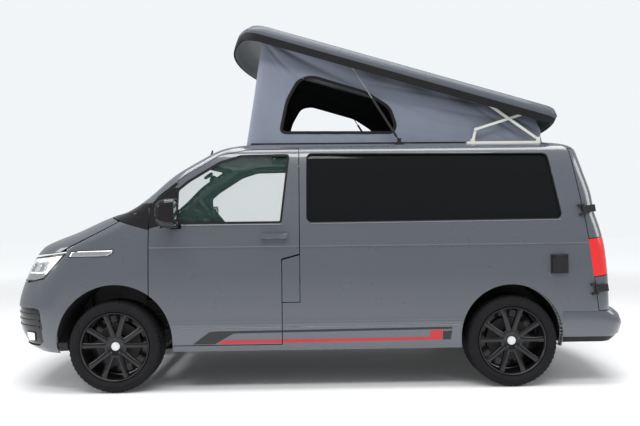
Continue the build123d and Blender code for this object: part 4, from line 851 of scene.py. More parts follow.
def slab(name, outline, low, high, wrap, key, slot, body="body", holes=(), step=0.05, soft=0.0):
    """An outline made solid from low to high above the skin; soft is the width of its eased edge."""
    work = bmesh.new()
    for ring in (outline, *holes):
        corners = [work.verts.new((u, 0.0, v)) for u, v in ring]
        for i, corner in enumerate(corners):
            work.edges.new((corners[i - 1], corner))
    bmesh.ops.triangle_fill(work, use_beauty=True, edges=work.edges[:], normal=(0.0, -1.0, 0.0))
    for axis in (0, 2):
        reached = [vert.co[axis] for vert in work.verts]
        first, last = int(min(reached) / step) - 1, int(max(reached) / step) + 1
        normal = Vector((axis == 0, 0, axis == 2))
        for k in range(first, last + 1):
            bisect(work, normal * (k * step), normal, 1e-5)
    lid = bmesh.ops.extrude_face_region(work, geom=work.faces[:])["geom"]
    for vert in lid:
        if isinstance(vert, bmesh.types.BMVert):
            vert.co.y = 1.0
    if soft:
        top = [face for face in work.faces if all(vert.co.y > 0.5 for vert in face.verts)]
        bmesh.ops.inset_region(work, faces=top, thickness=soft, depth=0.0, use_even_offset=True)
        inner = {vert for face in top for vert in face.verts}
        for vert in work.verts:
            if vert.co.y > 0.5 and vert not in inner:
                vert.co.y = SOFT_EDGE
    flat = np.array([vert.co[:] for vert in work.verts])
    placed = wrap(flat[:, 0], flat[:, 2], low + (high - low) * flat[:, 1])
    for vert, point in zip(work.verts, placed):
        vert.co = point
    bmesh.ops.recalc_face_normals(work, faces=work.faces[:])
    mesh = finished(work, name, [key])
    smooth_faces(mesh, 40.0)
    return carry(new_piece(name, mesh), body=body)


print("slabs ready")

# %% [markdown]
# ## Stripes on the flanks
# A printed film in three parts: a slanted black band behind the front wheel whose top edge runs on as
# a thin line, a red line that thins towards the rear, and a red block with a black end. It could be a
# mask in the paint, but film has an edge that catches light, so it is a thin slab. It is cut at every
# shut line, so each length rides its own panel.

# %% The stripe, cut at the shut lines
def between(outline, low, high):
    """The part of an outline whose first coordinate lies between two bounds."""
    for bound, way in ((low, 1.0), (high, -1.0)):
        kept = []
        for before, here in zip(outline[-1:] + outline[:-1], outline):
            a, b = way * (before[0] - bound), way * (here[0] - bound)
            if a * b < 0:
                t = a / (a - b)
                kept.append((bound, before[1] + t * (here[1] - before[1])))
            if b >= 0:
                kept.append(here)
        outline = kept
        if not outline:
            break
    return outline


BAND = [
    (-0.958, 0.356), (-0.792, 0.356), (-0.652, 0.436), (0.992, 0.447),
    (0.992, 0.464), (-0.80, 0.4535), (-0.835, 0.447),
]
BLACK_END = [(0.921, 0.366), (0.980, 0.366), (0.992, 0.434), (0.921, 0.432)]
RED = [(-0.772, 0.357), (0.918, 0.366), (0.918, 0.441), (0.826, 0.440), (0.826, 0.387), (-0.734, 0.384)]
STRIPE = {"black": [BAND, BLACK_END], "red": [RED]}
FILM_LOW, FILM_HIGH = 0.0004, 0.0012
# Each length of the film: the body it rides, and the shut lines where it starts and ends
FAR_END = 2.0
PANELS = {
    "left": [("front_door_left", -FAR_END, -0.2905), ("body", -0.2835, FAR_END)],
    "right": [
        ("front_door_right", -FAR_END, -0.2905),
        ("body", -0.2835, -0.1465),
        ("body", -0.1395, 0.9545),
        ("body", 0.9615, FAR_END),
    ],
}


def lay_stripe(side, wrap, colour, k, outline):
    key = "stripe_" + colour
    for n, (body, low, high) in enumerate(PANELS[side]):
        part = between(outline, low, high)
        if part:
            name = f"stripe_{colour}_{side}_{k}_{n}"
            slab(name, part, FILM_LOW, FILM_HIGH, wrap, key, "body_paint", body, step=0.06)


for side, _, wrap in SIDES:
    for colour, outlines in STRIPE.items():
        for k, outline in enumerate(outlines):
            lay_stripe(side, wrap, colour, k, outline)
print("stripes laid on both flanks")

# %% [markdown]
# ## Wheels
# The tyre is one profile turned about the axle, with ring grooves in the tread and notches moulded
# into both shoulders. The wheel is a turned barrel with a lip, five pairs of tapered spokes lofted
# outwards from the hub, bolts in their seats and a plain cap. Screw and array modifiers could turn and
# repeat them, but a loop shows every number at once. Both are made once, about the Y axis with the
# outside at -Y, and mirrored for the right side.


# %% Turning and lofting
def turned(profile, count, shape=None):
    """Points and faces of a closed profile of (radius, y) turned about the Y axis."""
    points, faces = [], []
    size = len(profile)
    for i in range(count):
        a = 2 * pi * i / count
        for k, (r, y) in enumerate(profile):
            if shape:
                r = shape(i, k, r)
            points.append((r * cos(a), y, r * sin(a)))
    for i in range(count):
        j = (i + 1) % count
        for k in range(size):
            m = (k + 1) % size
            faces.append((i * size + k, i * size + m, j * size + m, j * size + k))
    return points, faces


def lofted(sections):
    """Points and faces of a solid through sections with the same number of points."""
    size = len(sections[0])
    points = [point for section in sections for point in section]
    faces = []
    for i in range(len(sections) - 1):
        for k in range(size):
            m = (k + 1) % size
            faces.append((i * size + k, i * size + m, (i + 1) * size + m, (i + 1) * size + k))
    last = (len(sections) - 1) * size
    faces.append(tuple(range(size))[::-1])
    faces.append(tuple(last + k for k in range(size)))
    return points, faces


def gathered(name, parts, keys, angle=32.0):
    """One mesh from (points, faces, material number) parts."""
    points, faces, marks = [], [], []
    for more, rings, mark in parts:
        base = len(points)
        points += [tuple(p) for p in more]
        faces += [tuple(base + k for k in ring) for ring in rings]
        marks += [mark] * len(rings)
    mesh = bpy.data.meshes.new(name)
    mesh.from_pydata(points, [], faces)
    mesh.polygons.foreach_set("material_index", marks)
    for key in keys:
        mesh.materials.append(FINISH[key])
    work = bmesh.new()
    work.from_mesh(mesh)
    bmesh.ops.recalc_face_normals(work, faces=work.faces[:])
    work.to_mesh(mesh)
    work.free()
    smooth_faces(mesh, angle)
    return mesh


def moved(part, matrix):
    points, faces, mark = part
    return [matrix @ Vector(p) for p in points], faces, mark


def built(name, parts, keys, angle=32.0, node=None):
    """Gathered parts as a piece that stands for a node, or else rides the van's body."""
    piece = new_piece(name, gathered(name, parts, keys, angle))
    return carry(piece, node, None if node else "body")


print("turning and lofting ready")

# %% Tyre
SIDEWALL = [
    (0.2592, 0.103), (0.266, 0.1125), (0.276, 0.1195), (0.288, 0.1248), (0.2895, 0.1262), (0.292, 0.1262),
    (0.2935, 0.1256), (0.306, 0.1268), (0.3185, 0.1245), (0.3195, 0.1256), (0.3215, 0.1250), (0.330, 0.1185),
    (0.3372, 0.1095), (0.3415, 0.0985),
]
# A ring groove beside its middle: radius, and how far from the middle
GROOVE = [(0.3425, 0.0065), (0.3345, 0.0045), (0.3345, -0.0045), (0.3430, -0.0065)]
GROOVE_MIDDLES = (0.071, 0.026)
TYRE_STEPS = 168
NOTCH, SIPE = 0.0052, 0.0022
SHOULDER_Y, SHOULDER_R = 0.09, 0.325
BLOCK_Y, BLOCK_R = 0.078, 0.340


def tread_profile():
    half = SIDEWALL + [(r, at + off) for at in GROOVE_MIDDLES for r, off in GROOVE]
    return [(r, -y) for r, y in half] + half[::-1]


TREAD = tread_profile()
SHOULDER = {k for k, (r, y) in enumerate(TREAD) if abs(y) > SHOULDER_Y and r > SHOULDER_R}


def notched(i, k, r):
    """Every third step of the shoulder is a notch between two blocks, and fine cuts cross the tread."""
    if k in SHOULDER and i % 3 == 0:
        return r - NOTCH
    if abs(TREAD[k][1]) < BLOCK_Y and r > BLOCK_R and i % 4 == (k // 4) % 4:
        return r - SIPE
    return r


tyre_part = (*turned(TREAD, TYRE_STEPS, notched), 0)
print("tyre:", len(tyre_part[1]), "faces")

# %% Profiles of the rim: barrel, hub, cap, brake, bolts and spokes
BARREL = [
    (0.2588, -0.104), (0.2588, -0.1095), (0.2555, -0.1130), (0.2490, -0.1130), (0.2445, -0.1085),
    (0.2405, -0.0960), (0.2385, -0.0700), (0.2360, 0.0000), (0.2360, 0.0900), (0.2440, 0.1090),
    (0.2588, 0.1100), (0.2588, 0.0950), (0.2460, 0.0800), (0.2440, -0.0600),
]
HUB = [
    (0.0005, -0.0800), (0.0320, -0.0800), (0.0345, -0.0830), (0.0480, -0.0850), (0.0700, -0.0900),
    (0.0790, -0.0860), (0.0820, -0.0700), (0.0800, 0.0050), (0.0005, 0.0050),
]
CAP = [
    (0.0004, -0.0905), (0.0160, -0.0900), (0.0270, -0.0880),
    (0.0318, -0.0845), (0.0318, -0.0780), (0.0004, -0.0780),
]
# The brake disc takes the near-black engine iron, darker than bare disc steel: painted shade for the dim
# inside of the wheel
DISC = [
    (0.060, 0.010), (0.165, 0.010), (0.165, 0.0145), (0.158, 0.0155),
    (0.158, 0.0285), (0.165, 0.0295), (0.165, 0.036), (0.060, 0.036),
]
SHIELD = [(0.040, 0.046), (0.222, 0.046), (0.232, 0.038), (0.232, 0.042), (0.224, 0.050), (0.040, 0.050)]
BOLT = [(0.0003, -0.0935), (0.0075, -0.0935), (0.0088, -0.0915), (0.0088, -0.0780), (0.0003, -0.0780)]
WEB = [(0.0002, -0.0865), (0.0090, -0.0865), (0.0120, -0.0845), (0.0120, -0.0500), (0.0002, -0.0500)]
BOLT_CIRCLE, WEB_CIRCLE = 0.056, 0.075
PAIRS, FIRST_PAIR = 5, 18.0
# Along a spoke: radius, half width, face y, depth, spread of the pair in degrees
SPOKE = [
    (0.066, 0.0215, -0.0880, 0.034, 12.0),
    (0.090, 0.0200, -0.0900, 0.034, 13.5),
    (0.130, 0.0180, -0.0955, 0.034, 14.6),
    (0.175, 0.0175, -0.1010, 0.034, 15.2),
    (0.215, 0.0190, -0.1045, 0.034, 15.6),
    (0.2400, 0.0225, -0.1040, 0.036, 15.8),
    (0.2475, 0.0240, -0.1035, 0.036, 15.8),
]
print("spokes:", 2 * PAIRS, "in pairs")

# %% Spokes and the parts of a wheel
# Across a spoke: share of the half width that is eased or flat, and how far the edges fall back
SPOKE_EDGE, SPOKE_FLAT = 0.34, 0.25
EASE_IN, EASE_OUT = 0.0012, 0.0065
LACQUERED, CAPPED, IRON = range(3)


def spoke(middle, side):
    sections = []
    for r, half, face, depth, spread in SPOKE:
        a = radians(middle + side * spread)
        out = Vector((cos(a), 0.0, sin(a)))
        across = Vector((-sin(a), 0.0, cos(a)))
        edge, flat = half * SPOKE_EDGE, half * SPOKE_FLAT
        right = [(flat, 0.0), (half - edge, EASE_IN), (half, EASE_OUT), (half, depth)]
        ring = [(-s, d) for s, d in right[::-1]] + right
        sections.append([out * r + across * s + Vector((0.0, face + d, 0.0)) for s, d in ring])
    return (*lofted(sections), LACQUERED)


def set_out(part, radius, degrees):
    """A part moved out from the axle to a radius and an angle."""
    a = radians(degrees)
    return moved(part, Matrix.Translation((radius * cos(a), 0.0, radius * sin(a))))


def wheel_parts():
    parts = [
        (*turned(BARREL, 96), LACQUERED),
        (*turned(HUB, 60), LACQUERED),
        (*turned(CAP, 36), CAPPED),
        (*turned(DISC, 72), IRON),
        (*turned(SHIELD, 72), LACQUERED),
    ]
    apart = 360.0 / PAIRS
    for pair in range(PAIRS):
        middle = apart * pair + FIRST_PAIR
        parts += [spoke(middle, -1), spoke(middle, 1)]
        parts.append(set_out((*turned(BOLT, 6), IRON), BOLT_CIRCLE, middle))
        parts.append(set_out((*turned(WEB, 20), LACQUERED), WEB_CIRCLE, middle + apart / 2))
    return parts


wheel = wheel_parts()
print("wheel:", len(wheel), "parts")

# %% The four wheels
CORNERS = ("front_left", "front_right", "rear_left", "rear_right")


def tyre_place(corner):
    """The middle of a tyre, and the side of the van it is on."""
    low, high = (Vector(p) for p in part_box("tyre_" + corner))
    return (low + high) / 2, -1.0 if corner.endswith("left") else 1.0


for corner in CORNERS:
    middle, side = tyre_place(corner)
    put = Matrix.Translation(middle) @ Matrix.Scale(-side, 4, (0.0, 1.0, 0.0))
    built("tyre_skin_" + corner, [moved(tyre_part, put)], ["tyre"], 28.0, "tyre_" + corner)
    parts = [moved(part, put) for part in wheel]
    built("wheel_" + corner, parts, ["wheel_black", "plate", "iron"], node="rim_" + corner)
print("wheels:", len(CORNERS))

# %% [markdown]
# ## Round the nose
# Lamps, grille and plate wrap round the front corners, where neither the side view nor the front view
# alone reaches. They could be projected from both and joined, but a seam would show. So they are
# drawn flat along the outline: u is the way round from the middle of the nose, v the height.


# %% The way round the nose
def on_corner(side):
    """A wrap by arc length from the middle of the nose, to the left (-1) or the right (+1)."""

    def wrap(u, v, t):
        half, (tip, centre, radius, bow, turn), rear = outline_at(v)
        phi = u / bow
        a = turn + (u - bow * turn) / radius
        straight = u - bow * turn - radius * (pi / 2 - turn)
        on_bow, on_side = phi < turn, a > pi / 2
        a = np.minimum(a, pi / 2)
        x = np.where(on_bow, tip + bow - (bow + t) * np.cos(phi), centre - (radius + t) * np.cos(a))
        y = np.where(on_bow, (bow + t) * np.sin(phi), half - radius + (radius + t) * np.sin(a))
        x = np.where(on_side, centre + straight, x)
        y = np.where(on_side, half + t, y)
        return np.column_stack([x, side * y, v])

    return wrap


def round_at(x, z):
    """The way round of a point given in the side view."""
    half, (tip, centre, radius, bow, turn), rear = outline_at(np.float64(z))
    if x > centre:
        return float(bow * turn + radius * (pi / 2 - turn) + x - centre)
    return float(bow * turn + radius * (np.arccos(np.clip((centre - x) / radius, -1, 1)) - turn))


def side_view(points):
    return [(round_at(x, z), z) for x, z in points]


print("way round from the nose to the front axle:", round(round_at(-1.5, 0.62), 3), "m")

# %% [markdown]
# ## Headlamps
# Under a clear cover sit a bright tray, two round projectors in black cups, light bars along the top
# edge, the rear edge and the floor, and a dark lip below. A black joint runs round the cover. A picture
# on one pane could stand for all that, but slabs at different depths look right from every side.

# %% Headlamps and wing strips
LAMP_EDGE = [(-1.900, 1.046), (-1.985, 0.952), (-2.068, 0.860), (-2.150, 0.838)]
LAMP_TOP = [(-2.210, 1.011), (-2.060, 1.028)]
LAMP = [(0.505, 0.822), (0.505, 1.000), (0.640, 1.003)] + side_view(LAMP_TOP + LAMP_EDGE)
LAMP = LAMP[::-1]
LAMP_IN = grown(LAMP, -0.010)
LIP_END = [(-2.075, 0.902), (-2.052, 0.884), (-2.080, 0.866), (-2.155, 0.846)]
LAMP_LIP = [(0.520, 0.834), (0.520, 0.872)] + side_view(LIP_END)
TOP_END = [
    (-2.205, 1.000), (-2.060, 1.016), (-1.930, 1.032),
    (-1.955, 1.005), (-2.060, 0.994), (-2.200, 0.978),
]
LIGHT_BARS = {
    "top": [(0.560, 0.970), (0.560, 0.990), (0.640, 0.992)] + side_view(TOP_END),
    "rear": side_view([(-1.962, 0.998), (-2.060, 0.890), (-2.088, 0.893), (-2.000, 0.995)]),
    "floor": [(0.600, 0.884), (0.600, 0.896)] + side_view([(-2.100, 0.908), (-2.092, 0.894)]),
}
# Projectors: place in the side view and radius
PROJECTORS = ((-2.150, 0.936, 0.038), (-2.255, 0.930, 0.036))
STRIP = [(-1.868, 1.026), (-1.848, 1.060), (-1.548, 1.066), (-1.552, 1.048), (-1.594, 1.026)]


def headlamp(name, wrap):
    """The slabs of one lamp, from the tray outwards; returns the tray."""
    tray = slab(f"lamp_tray_{name}", LAMP, -0.040, -0.026, wrap, "reflector", "lamp", step=0.03)
    joint = {"holes": [LAMP_IN], "step": 0.04}
    slab(f"lamp_joint_{name}", LAMP, -0.030, 0.0012, wrap, "black_gloss", "black_gloss", **joint)
    slab(f"lamp_cover_{name}", LAMP_IN, -0.0030, 0.0004, wrap, "lamp_glass", "clear_glass", step=0.03)
    lip = LAMP_LIP[::-1]
    slab(f"lamp_lip_{name}", lip, -0.0250, -0.0085, wrap, "black_gloss", "black_gloss", step=0.03)
    bar = {"step": 0.04, "soft": 0.003}
    for part, outline in LIGHT_BARS.items():
        slab(f"lamp_bar_{part}_{name}", outline[::-1], -0.0240, -0.0080, wrap, "light_bar", "lamp", **bar)
    for k, (x, z, r) in enumerate(PROJECTORS):
        cup = circle(round_at(x, z), z, r, 28)
        eye = grown(cup, -0.010)
        cup_edge = {"step": 0.03, "soft": 0.006}
        eye_edge = {"step": 0.02, "soft": 0.007}
        slab(f"lamp_cup_{k}_{name}", cup, -0.028, -0.013, wrap, "black_gloss", "lamp", **cup_edge)
        slab(f"lamp_eye_{k}_{name}", eye, -0.016, -0.006, wrap, "reflector", "lamp", **eye_edge)
    return tray


for name, side, flank in SIDES:
    tray = headlamp(name, on_corner(side))
    if name == "left":
        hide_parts("headlamps")
    edge = grown(STRIP, 0.006)
    slab(f"wing_strip_edge_{name}", edge, -0.001, 0.0022, flank, "black_gloss", "black_gloss")
    slab(f"wing_strip_{name}", STRIP, 0.0005, 0.0045, flank, "bright", "lamp", soft=0.002)
print("lamps done:", len(LIGHT_BARS), "light bars and", len(PROJECTORS), "projectors each")

# %% [markdown]
# ## Bumpers, grilles and plates
# The front bumper is one painted moulding with black grilles in its openings, a bright fog lamp in
# each corner, and a blank plate. The openings could be a black mask in the paint, but the solids have
# them as real holes, so bumper and grille are pulled onto the smooth surface as the panels are.

# %% Bumper, fog lamps and intake blades
panel("front_bumper", NOSE_CUTS, inner="under")
panel("grille", {2: UP, 1: ACROSS}, skin="black_gloss", inner="black_grain")
FOG = [(-2.226, 0.452), (-2.150, 0.452), (-2.158, 0.396), (-2.216, 0.392)]
BLADE_LEVELS = (0.500, 0.545, 0.590)
BLADE_HALF, BLADE_IN, BLADE_OUT = 0.008, 0.650, -2.105
for name, side, _ in SIDES:
    wrap = on_corner(side)
    outline = rounded(side_view(FOG)[::-1], 0.012)
    bezel = grown(outline, 0.012)
    bezel_edge = {"step": 0.04, "soft": 0.003}
    slab(f"fog_bezel_{name}", bezel, -0.014, -0.004, wrap, "black_gloss", "black_gloss", **bezel_edge)
    slab(f"fog_lamp_{name}", outline, -0.008, -0.001, wrap, "light_bar", "lamp", step=0.03, soft=0.006)
    for k, level in enumerate(BLADE_LEVELS):
        low, high = level - BLADE_HALF, level + BLADE_HALF
        blade = [(BLADE_IN, low), (BLADE_IN, high)] + side_view([(BLADE_OUT, high), (BLADE_OUT, low)])
        blade = blade[::-1]
        part = f"intake_blade_{k}_{name}"
        slab(part, blade, -0.012, -0.003, wrap, "black_gloss", "black_gloss", soft=0.003)
print("bumper done, with", len(BLADE_LEVELS), "blades in each intake")


# %% Grille lines and front plate
def both_noses(u, v, t):
    """Across the middle of the nose, u running from right to left."""
    wrapped = on_corner(1)(np.abs(u), v, t)
    wrapped[:, 1] *= np.sign(u)
    return wrapped


GRILLE_LINES = (0.862, 0.910, 0.958)
LINE_HALF, LINE_REACH = 0.003, 0.486
for k, level in enumerate(GRILLE_LINES):
    bar = oblong(-LINE_REACH, LINE_REACH, level - LINE_HALF, level + LINE_HALF)
    slab(f"grille_line_{k}", bar, 0.001, 0.0085, both_noses, "bright", "black_gloss", step=0.06)
PLATE = rounded(oblong(-0.26, 0.26, 0.600, 0.712), 0.010)
PLATE_RIM = 0.008
plate_frame = grown(PLATE, PLATE_RIM)
slab("plate_front_frame", plate_frame, -0.001, 0.008, on_nose, "black_grain", "black_gloss", step=0.08)
slab("plate_front", PLATE, 0.004, 0.0102, on_nose, "plate", "body_paint", step=0.08)
print("nose done")

# %% [markdown]
# ## The lifting roof
# The shell is one moulding, painted outside and lined inside. It could be split in two by hand, but
# the way each face looks already tells them apart: towards the middle of the shell is lining. The
# tent is canvas stretched between the roof's rim and the shell. A cloth simulation could drape it, but
# stretched cloth barely sags, so it is set out column by column round the rim and pushed in and out
# along folds: a fan from the front top corner, ripples below the shell's edge and bunching at the low
# rear end.

# %% Shell
TILT = radians(16.06)
PIVOT_OPEN, PIVOT_SHUT = Vector((1.304095, 0.0, 2.235194)), Vector((1.200089, 0.0, 1.920))
shut = Matrix.Translation(PIVOT_SHUT) @ Matrix.Rotation(-TILT, 4, "Y") @ Matrix.Translation(-PIVOT_OPEN)
back = shut.inverted()
SHADE_LIP_Z, SHELL_MIDDLE_Z = 1.924, 1.88
PAINTED, LINED, PAINTED_SHADE_LIP = range(3)
work = welded(nodes["roof_shell"].data)
bisect(work, back @ Vector((0.0, 0.0, SHADE_LIP_Z)), back.to_3x3() @ Vector((0.0, 0.0, 1.0)))
mesh = finished(work, "shell_skin", ("roof_paint", "lining", "rubber"))
for face in mesh.polygons:
    at, way = shut @ face.center, (shut.to_3x3() @ face.normal)
    outward = at.x * 0.25 * way.x + at.y * way.y + (at.z - SHELL_MIDDLE_Z) * 2.0 * way.z
    # Outer and downward faces below the lip height take black rubber: painted shade for the shadowed gap
    # under the shell's edge
    lip = at.z < SHADE_LIP_Z and (outward > 0.0 or way.z < -0.6)
    face.material_index = PAINTED_SHADE_LIP if lip else (LINED if outward < 0.0 else PAINTED)
smooth_faces(mesh, 38.0)
carry(new_piece("shell_skin", mesh), "roof_shell")
lowest = min((shut @ v.co).z for v in mesh.vertices)
print("shell:", len(mesh.polygons), "faces, lowest point when shut", round(lowest, 3))

# %% The tent's columns
FOOT_Z = 1.8868
TENT_HALF, TENT_CORNER = 0.637, 0.060
TENT_LOW, TENT_RISE = 1.866, 1.034
NOSE_FOOT, NOSE_LEAN = -0.580, 0.158
TAIL_FOOT, TAIL_LEAN = 1.840, -0.028
SHELL_EDGE_X, SHELL_EDGE_Z = 1.3201, 2.2909


def tent_ends(z):
    run = (z - TENT_LOW) / TENT_RISE
    return NOSE_FOOT + NOSE_LEAN * run, TAIL_FOOT + TAIL_LEAN * run


def tent_top(x):
    return SHELL_EDGE_Z - tan(TILT) * (x - SHELL_EDGE_X)


def rim_plan(step):
    """Points round the tent's rim as (share of length, y, outward x, outward y)."""
    nose, tail = tent_ends(FOOT_Z)
    length = tail - nose
    corners = [(-1, -1, pi), (1, -1, 1.5 * pi), (1, 1, 0.0), (-1, 1, 0.5 * pi)]
    path = []
    for sx, sy, first in corners:
        cx = (tail - TENT_CORNER) if sx > 0 else (nose + TENT_CORNER)
        cy = sy * (TENT_HALF - TENT_CORNER)
        for k in range(7):
            a = first + pi / 2 * k / 6
            path.append((cx + TENT_CORNER * cos(a), cy + TENT_CORNER * sin(a), cos(a), sin(a)))
    dense = []
    for here, after in zip(path, path[1:] + path[:1]):
        count = max(1, round(sqrt((after[0] - here[0]) ** 2 + (after[1] - here[1]) ** 2) / step))
        for k in range(count):
            t = k / count
            x, y, nx, ny = ((1 - t) * a + t * b for a, b in zip(here, after))
            size = sqrt(nx * nx + ny * ny)
            dense.append(((x - nose) / length, y, nx / size, ny / size))
    return dense


print("tent columns start at", [round(end, 3) for end in tent_ends(FOOT_Z)])


# %% The canvas's folds
def fold_push(x, y, z, top):
    """How far the canvas stands out at a point, in metres."""
    low = z - FOOT_Z
    below = np.maximum(top - z, 0.0)
    share = np.clip(low / np.maximum(top - FOOT_Z, 1e-3), 0.0, 1.0)
    along = np.maximum(x + 0.43, 0.0)
    # The wall draws in a little between foot and shell
    push = -0.010 * np.sin(pi * share)
    # A fan of creases runs out of the front top corner
    ray = below / (along + 0.02) ** 0.62
    fan = (1.0 - np.abs(np.sin(ray * 11.0 + 0.4 * np.sin(ray * 7.0)))) ** 1.3
    fan = fan * np.exp(-ray / 0.42) * np.exp(-along / 1.1)
    push -= 0.055 * fan * np.clip(along / 0.06, 0.0, 1.0) * np.clip(below / 0.02, 0.0, 1.0)
    # A tuck follows the shell's edge, with ripples below it
    tuck = np.clip((along - 0.55) / 0.45, 0.0, 1.0) * (0.8 + 0.2 * np.sin(x * 17.0))
    push -= 0.040 * tuck * np.exp(-(((below - 0.075) / 0.05) ** 2))
    push -= 0.014 * tuck * (1.0 - np.abs(np.sin(below * 30.0 + x * 3.0))) ** 2 * np.exp(-below / 0.22)
    # The foot puckers where it is held down
    push += 0.004 * np.sin(x * 33.0 + y * 21.0) * np.exp(-low / 0.07)
    # The low rear end bunches, and the front wall hangs in soft waves
    rear = np.clip((x - 1.15) / 0.4, 0.0, 1.0) * np.sin(pi * share)
    push -= 0.016 * rear * (1.0 - np.abs(np.sin(x * 17.0 + z * 26.0))) ** 1.5
    front = np.clip((-0.30 - x) / 0.1, 0.0, 1.0)
    push += 0.007 * front * np.sin(y * 19.0 + 0.8 * np.sin(z * 9.0)) * np.sin(pi * share)
    return np.clip(push, -0.060, 0.005)


def canvas_side(side):
    """A wrap onto the folded side wall of the tent."""

    def wrap(u, v, t):
        push = fold_push(u, TENT_HALF * side + 0 * u, v, tent_top(u))
        return np.column_stack([u, side * (TENT_HALF + push + t), v])

    return wrap


print("folds ready")

# %% [markdown]
# Both windows of the tent stand open: the canvas ends at a black edging, and through the near one the
# far one and the inside of the cloth can be seen, coloured near-black as painted shade. A boolean could
# cut them, but leaving out the faces inside an outline keeps the grid of the cloth clean.

# %% The canvas's grid and its windows
WINDOW = rounded(
    [
        (-0.300, 1.984), (-0.244, 2.245), (-0.150, 2.410), (-0.040, 2.436),
        (0.398, 2.305), (0.582, 2.184), (0.631, 2.036), (0.604, 1.978),
    ],
    0.05,
)
WINDOW_CUT = grown(WINDOW, 0.004)


def inside(outline, x, z):
    hit = np.zeros(x.shape, bool)
    for (xa, za), (xb, zb) in zip(outline, outline[1:] + outline[:1]):
        crosses = (za > z) != (zb > z)
        hit ^= crosses & (x < (xb - xa) * (z - za) / (zb - za + 1e-12) + xa)
    return hit


ROWS = 72
COLUMN_STEP = 0.012
TOP_GUESS, TOP_ROUNDS = 2.4, 6
plan = np.array(rim_plan(COLUMN_STEP))
share, y, nx, ny = (plan[:, k][:, None] for k in range(4))
# Nose and tail lean, so each column's top is found from a first guess in a few rounds
top = np.full_like(share, TOP_GUESS)
for _ in range(TOP_ROUNDS):
    nose, tail = tent_ends(top)
    top = tent_top(nose + share * (tail - nose))
z = FOOT_Z + (top - FOOT_Z) * np.linspace(0.0, 1.0, ROWS)[None, :]
nose, tail = tent_ends(z)
x = nose + share * (tail - nose)
flat_points = np.stack([x, y + 0 * x, z], axis=2)
push = fold_push(x, y + 0 * x, z, top)
points = np.stack([x + nx * push, y + ny * push, z], axis=2)
on_wall = np.abs(plan[:, 1]) > TENT_HALF - 0.001
faces = []
for i in range(len(plan)):
    j = (i + 1) % len(plan)
    mid_x, mid_z = flat_points[[i, j], :, 0].mean(axis=0), flat_points[[i, j], :, 2].mean(axis=0)
    cut = inside(WINDOW_CUT, mid_x[:-1], mid_z[:-1] / 2 + mid_z[1:] / 2) & on_wall[i] & on_wall[j]
    for k in np.flatnonzero(~cut).tolist():
        faces.append((i * ROWS + k, j * ROWS + k, j * ROWS + k + 1, i * ROWS + k + 1))


def area_of(places):
    a, b, c, d = (places.reshape(-1, 3)[[f[k] for f in faces]] for k in range(4))
    return 0.5 * float(np.linalg.norm(np.cross(c - a, d - b), axis=1).sum())


print("tent: flat area", round(area_of(flat_points), 2), "m2, folded", round(area_of(points), 2), "m2")

# %% Canvas, its inside in near-black cloth as painted shade, edging and hem
# How deep a fold must be before the canvas is darkened as painted shade, and the depth over which it gets
# fully dark
CREASE_SHADE_FROM, CREASE_SHADE_RUN = -0.016, 0.040
CLOTH = 0.002
EDGING_HALF = 0.012
HEM_FRONT, HEM_REAR = -0.535, 1.775


def cloth(name, places, rings, key):
    mesh = bpy.data.meshes.new(name)
    mesh.from_pydata(places.reshape(-1, 3).tolist(), [], rings)
    mesh.validate()
    mesh.shade_smooth()
    mesh.materials.append(FINISH[key])
    return mesh


mesh = cloth("tent_canvas", points, faces, "canvas")
# Deeper folds are marked for the canvas's painted shade
crease_shade_attribute = mesh.attributes.new("crease_shade", "FLOAT", "POINT")
crease_shade_attribute.data.foreach_set("value", np.clip((CREASE_SHADE_FROM - push.ravel()) / CREASE_SHADE_RUN, 0.0, 1.0))
tent = carry(new_piece("tent_canvas", mesh), "tent")
# The inside face is coloured with the near-black seat cloth: painted shade for the dim inside of the tent
inner = np.stack([x + nx * (push - CLOTH), y + ny * (push - CLOTH), z], axis=2)
mesh = cloth("tent_inside_painted_shade", inner, [face[::-1] for face in faces], "seat")
trims = [carry(new_piece("tent_inside_painted_shade", mesh), body="body")]
hem = oblong(HEM_FRONT, HEM_REAR, FOOT_Z + 0.001, FOOT_Z + 0.012)
edging = {"holes": [grown(WINDOW, -EDGING_HALF)], "step": 0.03}
rim = grown(WINDOW, EDGING_HALF)
for name, side, _ in SIDES:
    wrap = canvas_side(side)
    trims.append(slab(f"tent_edging_{name}", rim, -0.0030, 0.0016, wrap, "rubber", "canvas", **edging))
    trims.append(slab(f"tent_hem_{name}", hem, 0.0004, 0.0022, wrap, "rubber", "canvas", step=0.03))
for piece in [tent, *trims]:
    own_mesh(piece)
round(float((top - FOOT_Z).max()), 2)

# %% [markdown]
# ## Windows, mirrors and trim
# The panes sit in a step of the panel, and a rubber seal fills the step all round. A bright strip
# closes the waist of each cab door, partly trim and partly a painted highlight along the glass's lower
# edge, and a thin bright line under the long left pane is a painted highlight. Seals could be a dark
# band painted on the glass, but a slab with a hole has the real step at its edge. The mirror housing is
# one gloss moulding with the glass set into its rear face.

# %% Seals round the panes and strips at the waist
DOOR_PANE = [
    (-0.285, 1.256), (-0.222, 1.794), (-0.600, 1.788), (-0.760, 1.738),
    (-1.000, 1.590), (-1.085, 1.520), (-1.085, 1.256),
]
LONG_PANE = [(-0.100, 1.258), (1.856, 1.268), (1.786, 1.786), (-0.095, 1.798)]
SLIDER_PANE = [(-0.070, 1.260), (0.885, 1.264), (0.885, 1.796), (-0.065, 1.798)]
QUARTER_PANE = [(1.020, 1.264), (1.856, 1.268), (1.786, 1.786), (1.020, 1.794)]
SCREEN_PANE = [(-0.790, 1.372), (0.790, 1.372), (0.660, 1.800), (-0.660, 1.800)]
REAR_PANE = [(-0.770, 1.190), (-0.070, 1.190), (-0.070, 1.715), (-0.690, 1.715)]
MIRRORED_PANE = [(-y, z) for y, z in REAR_PANE[::-1]]
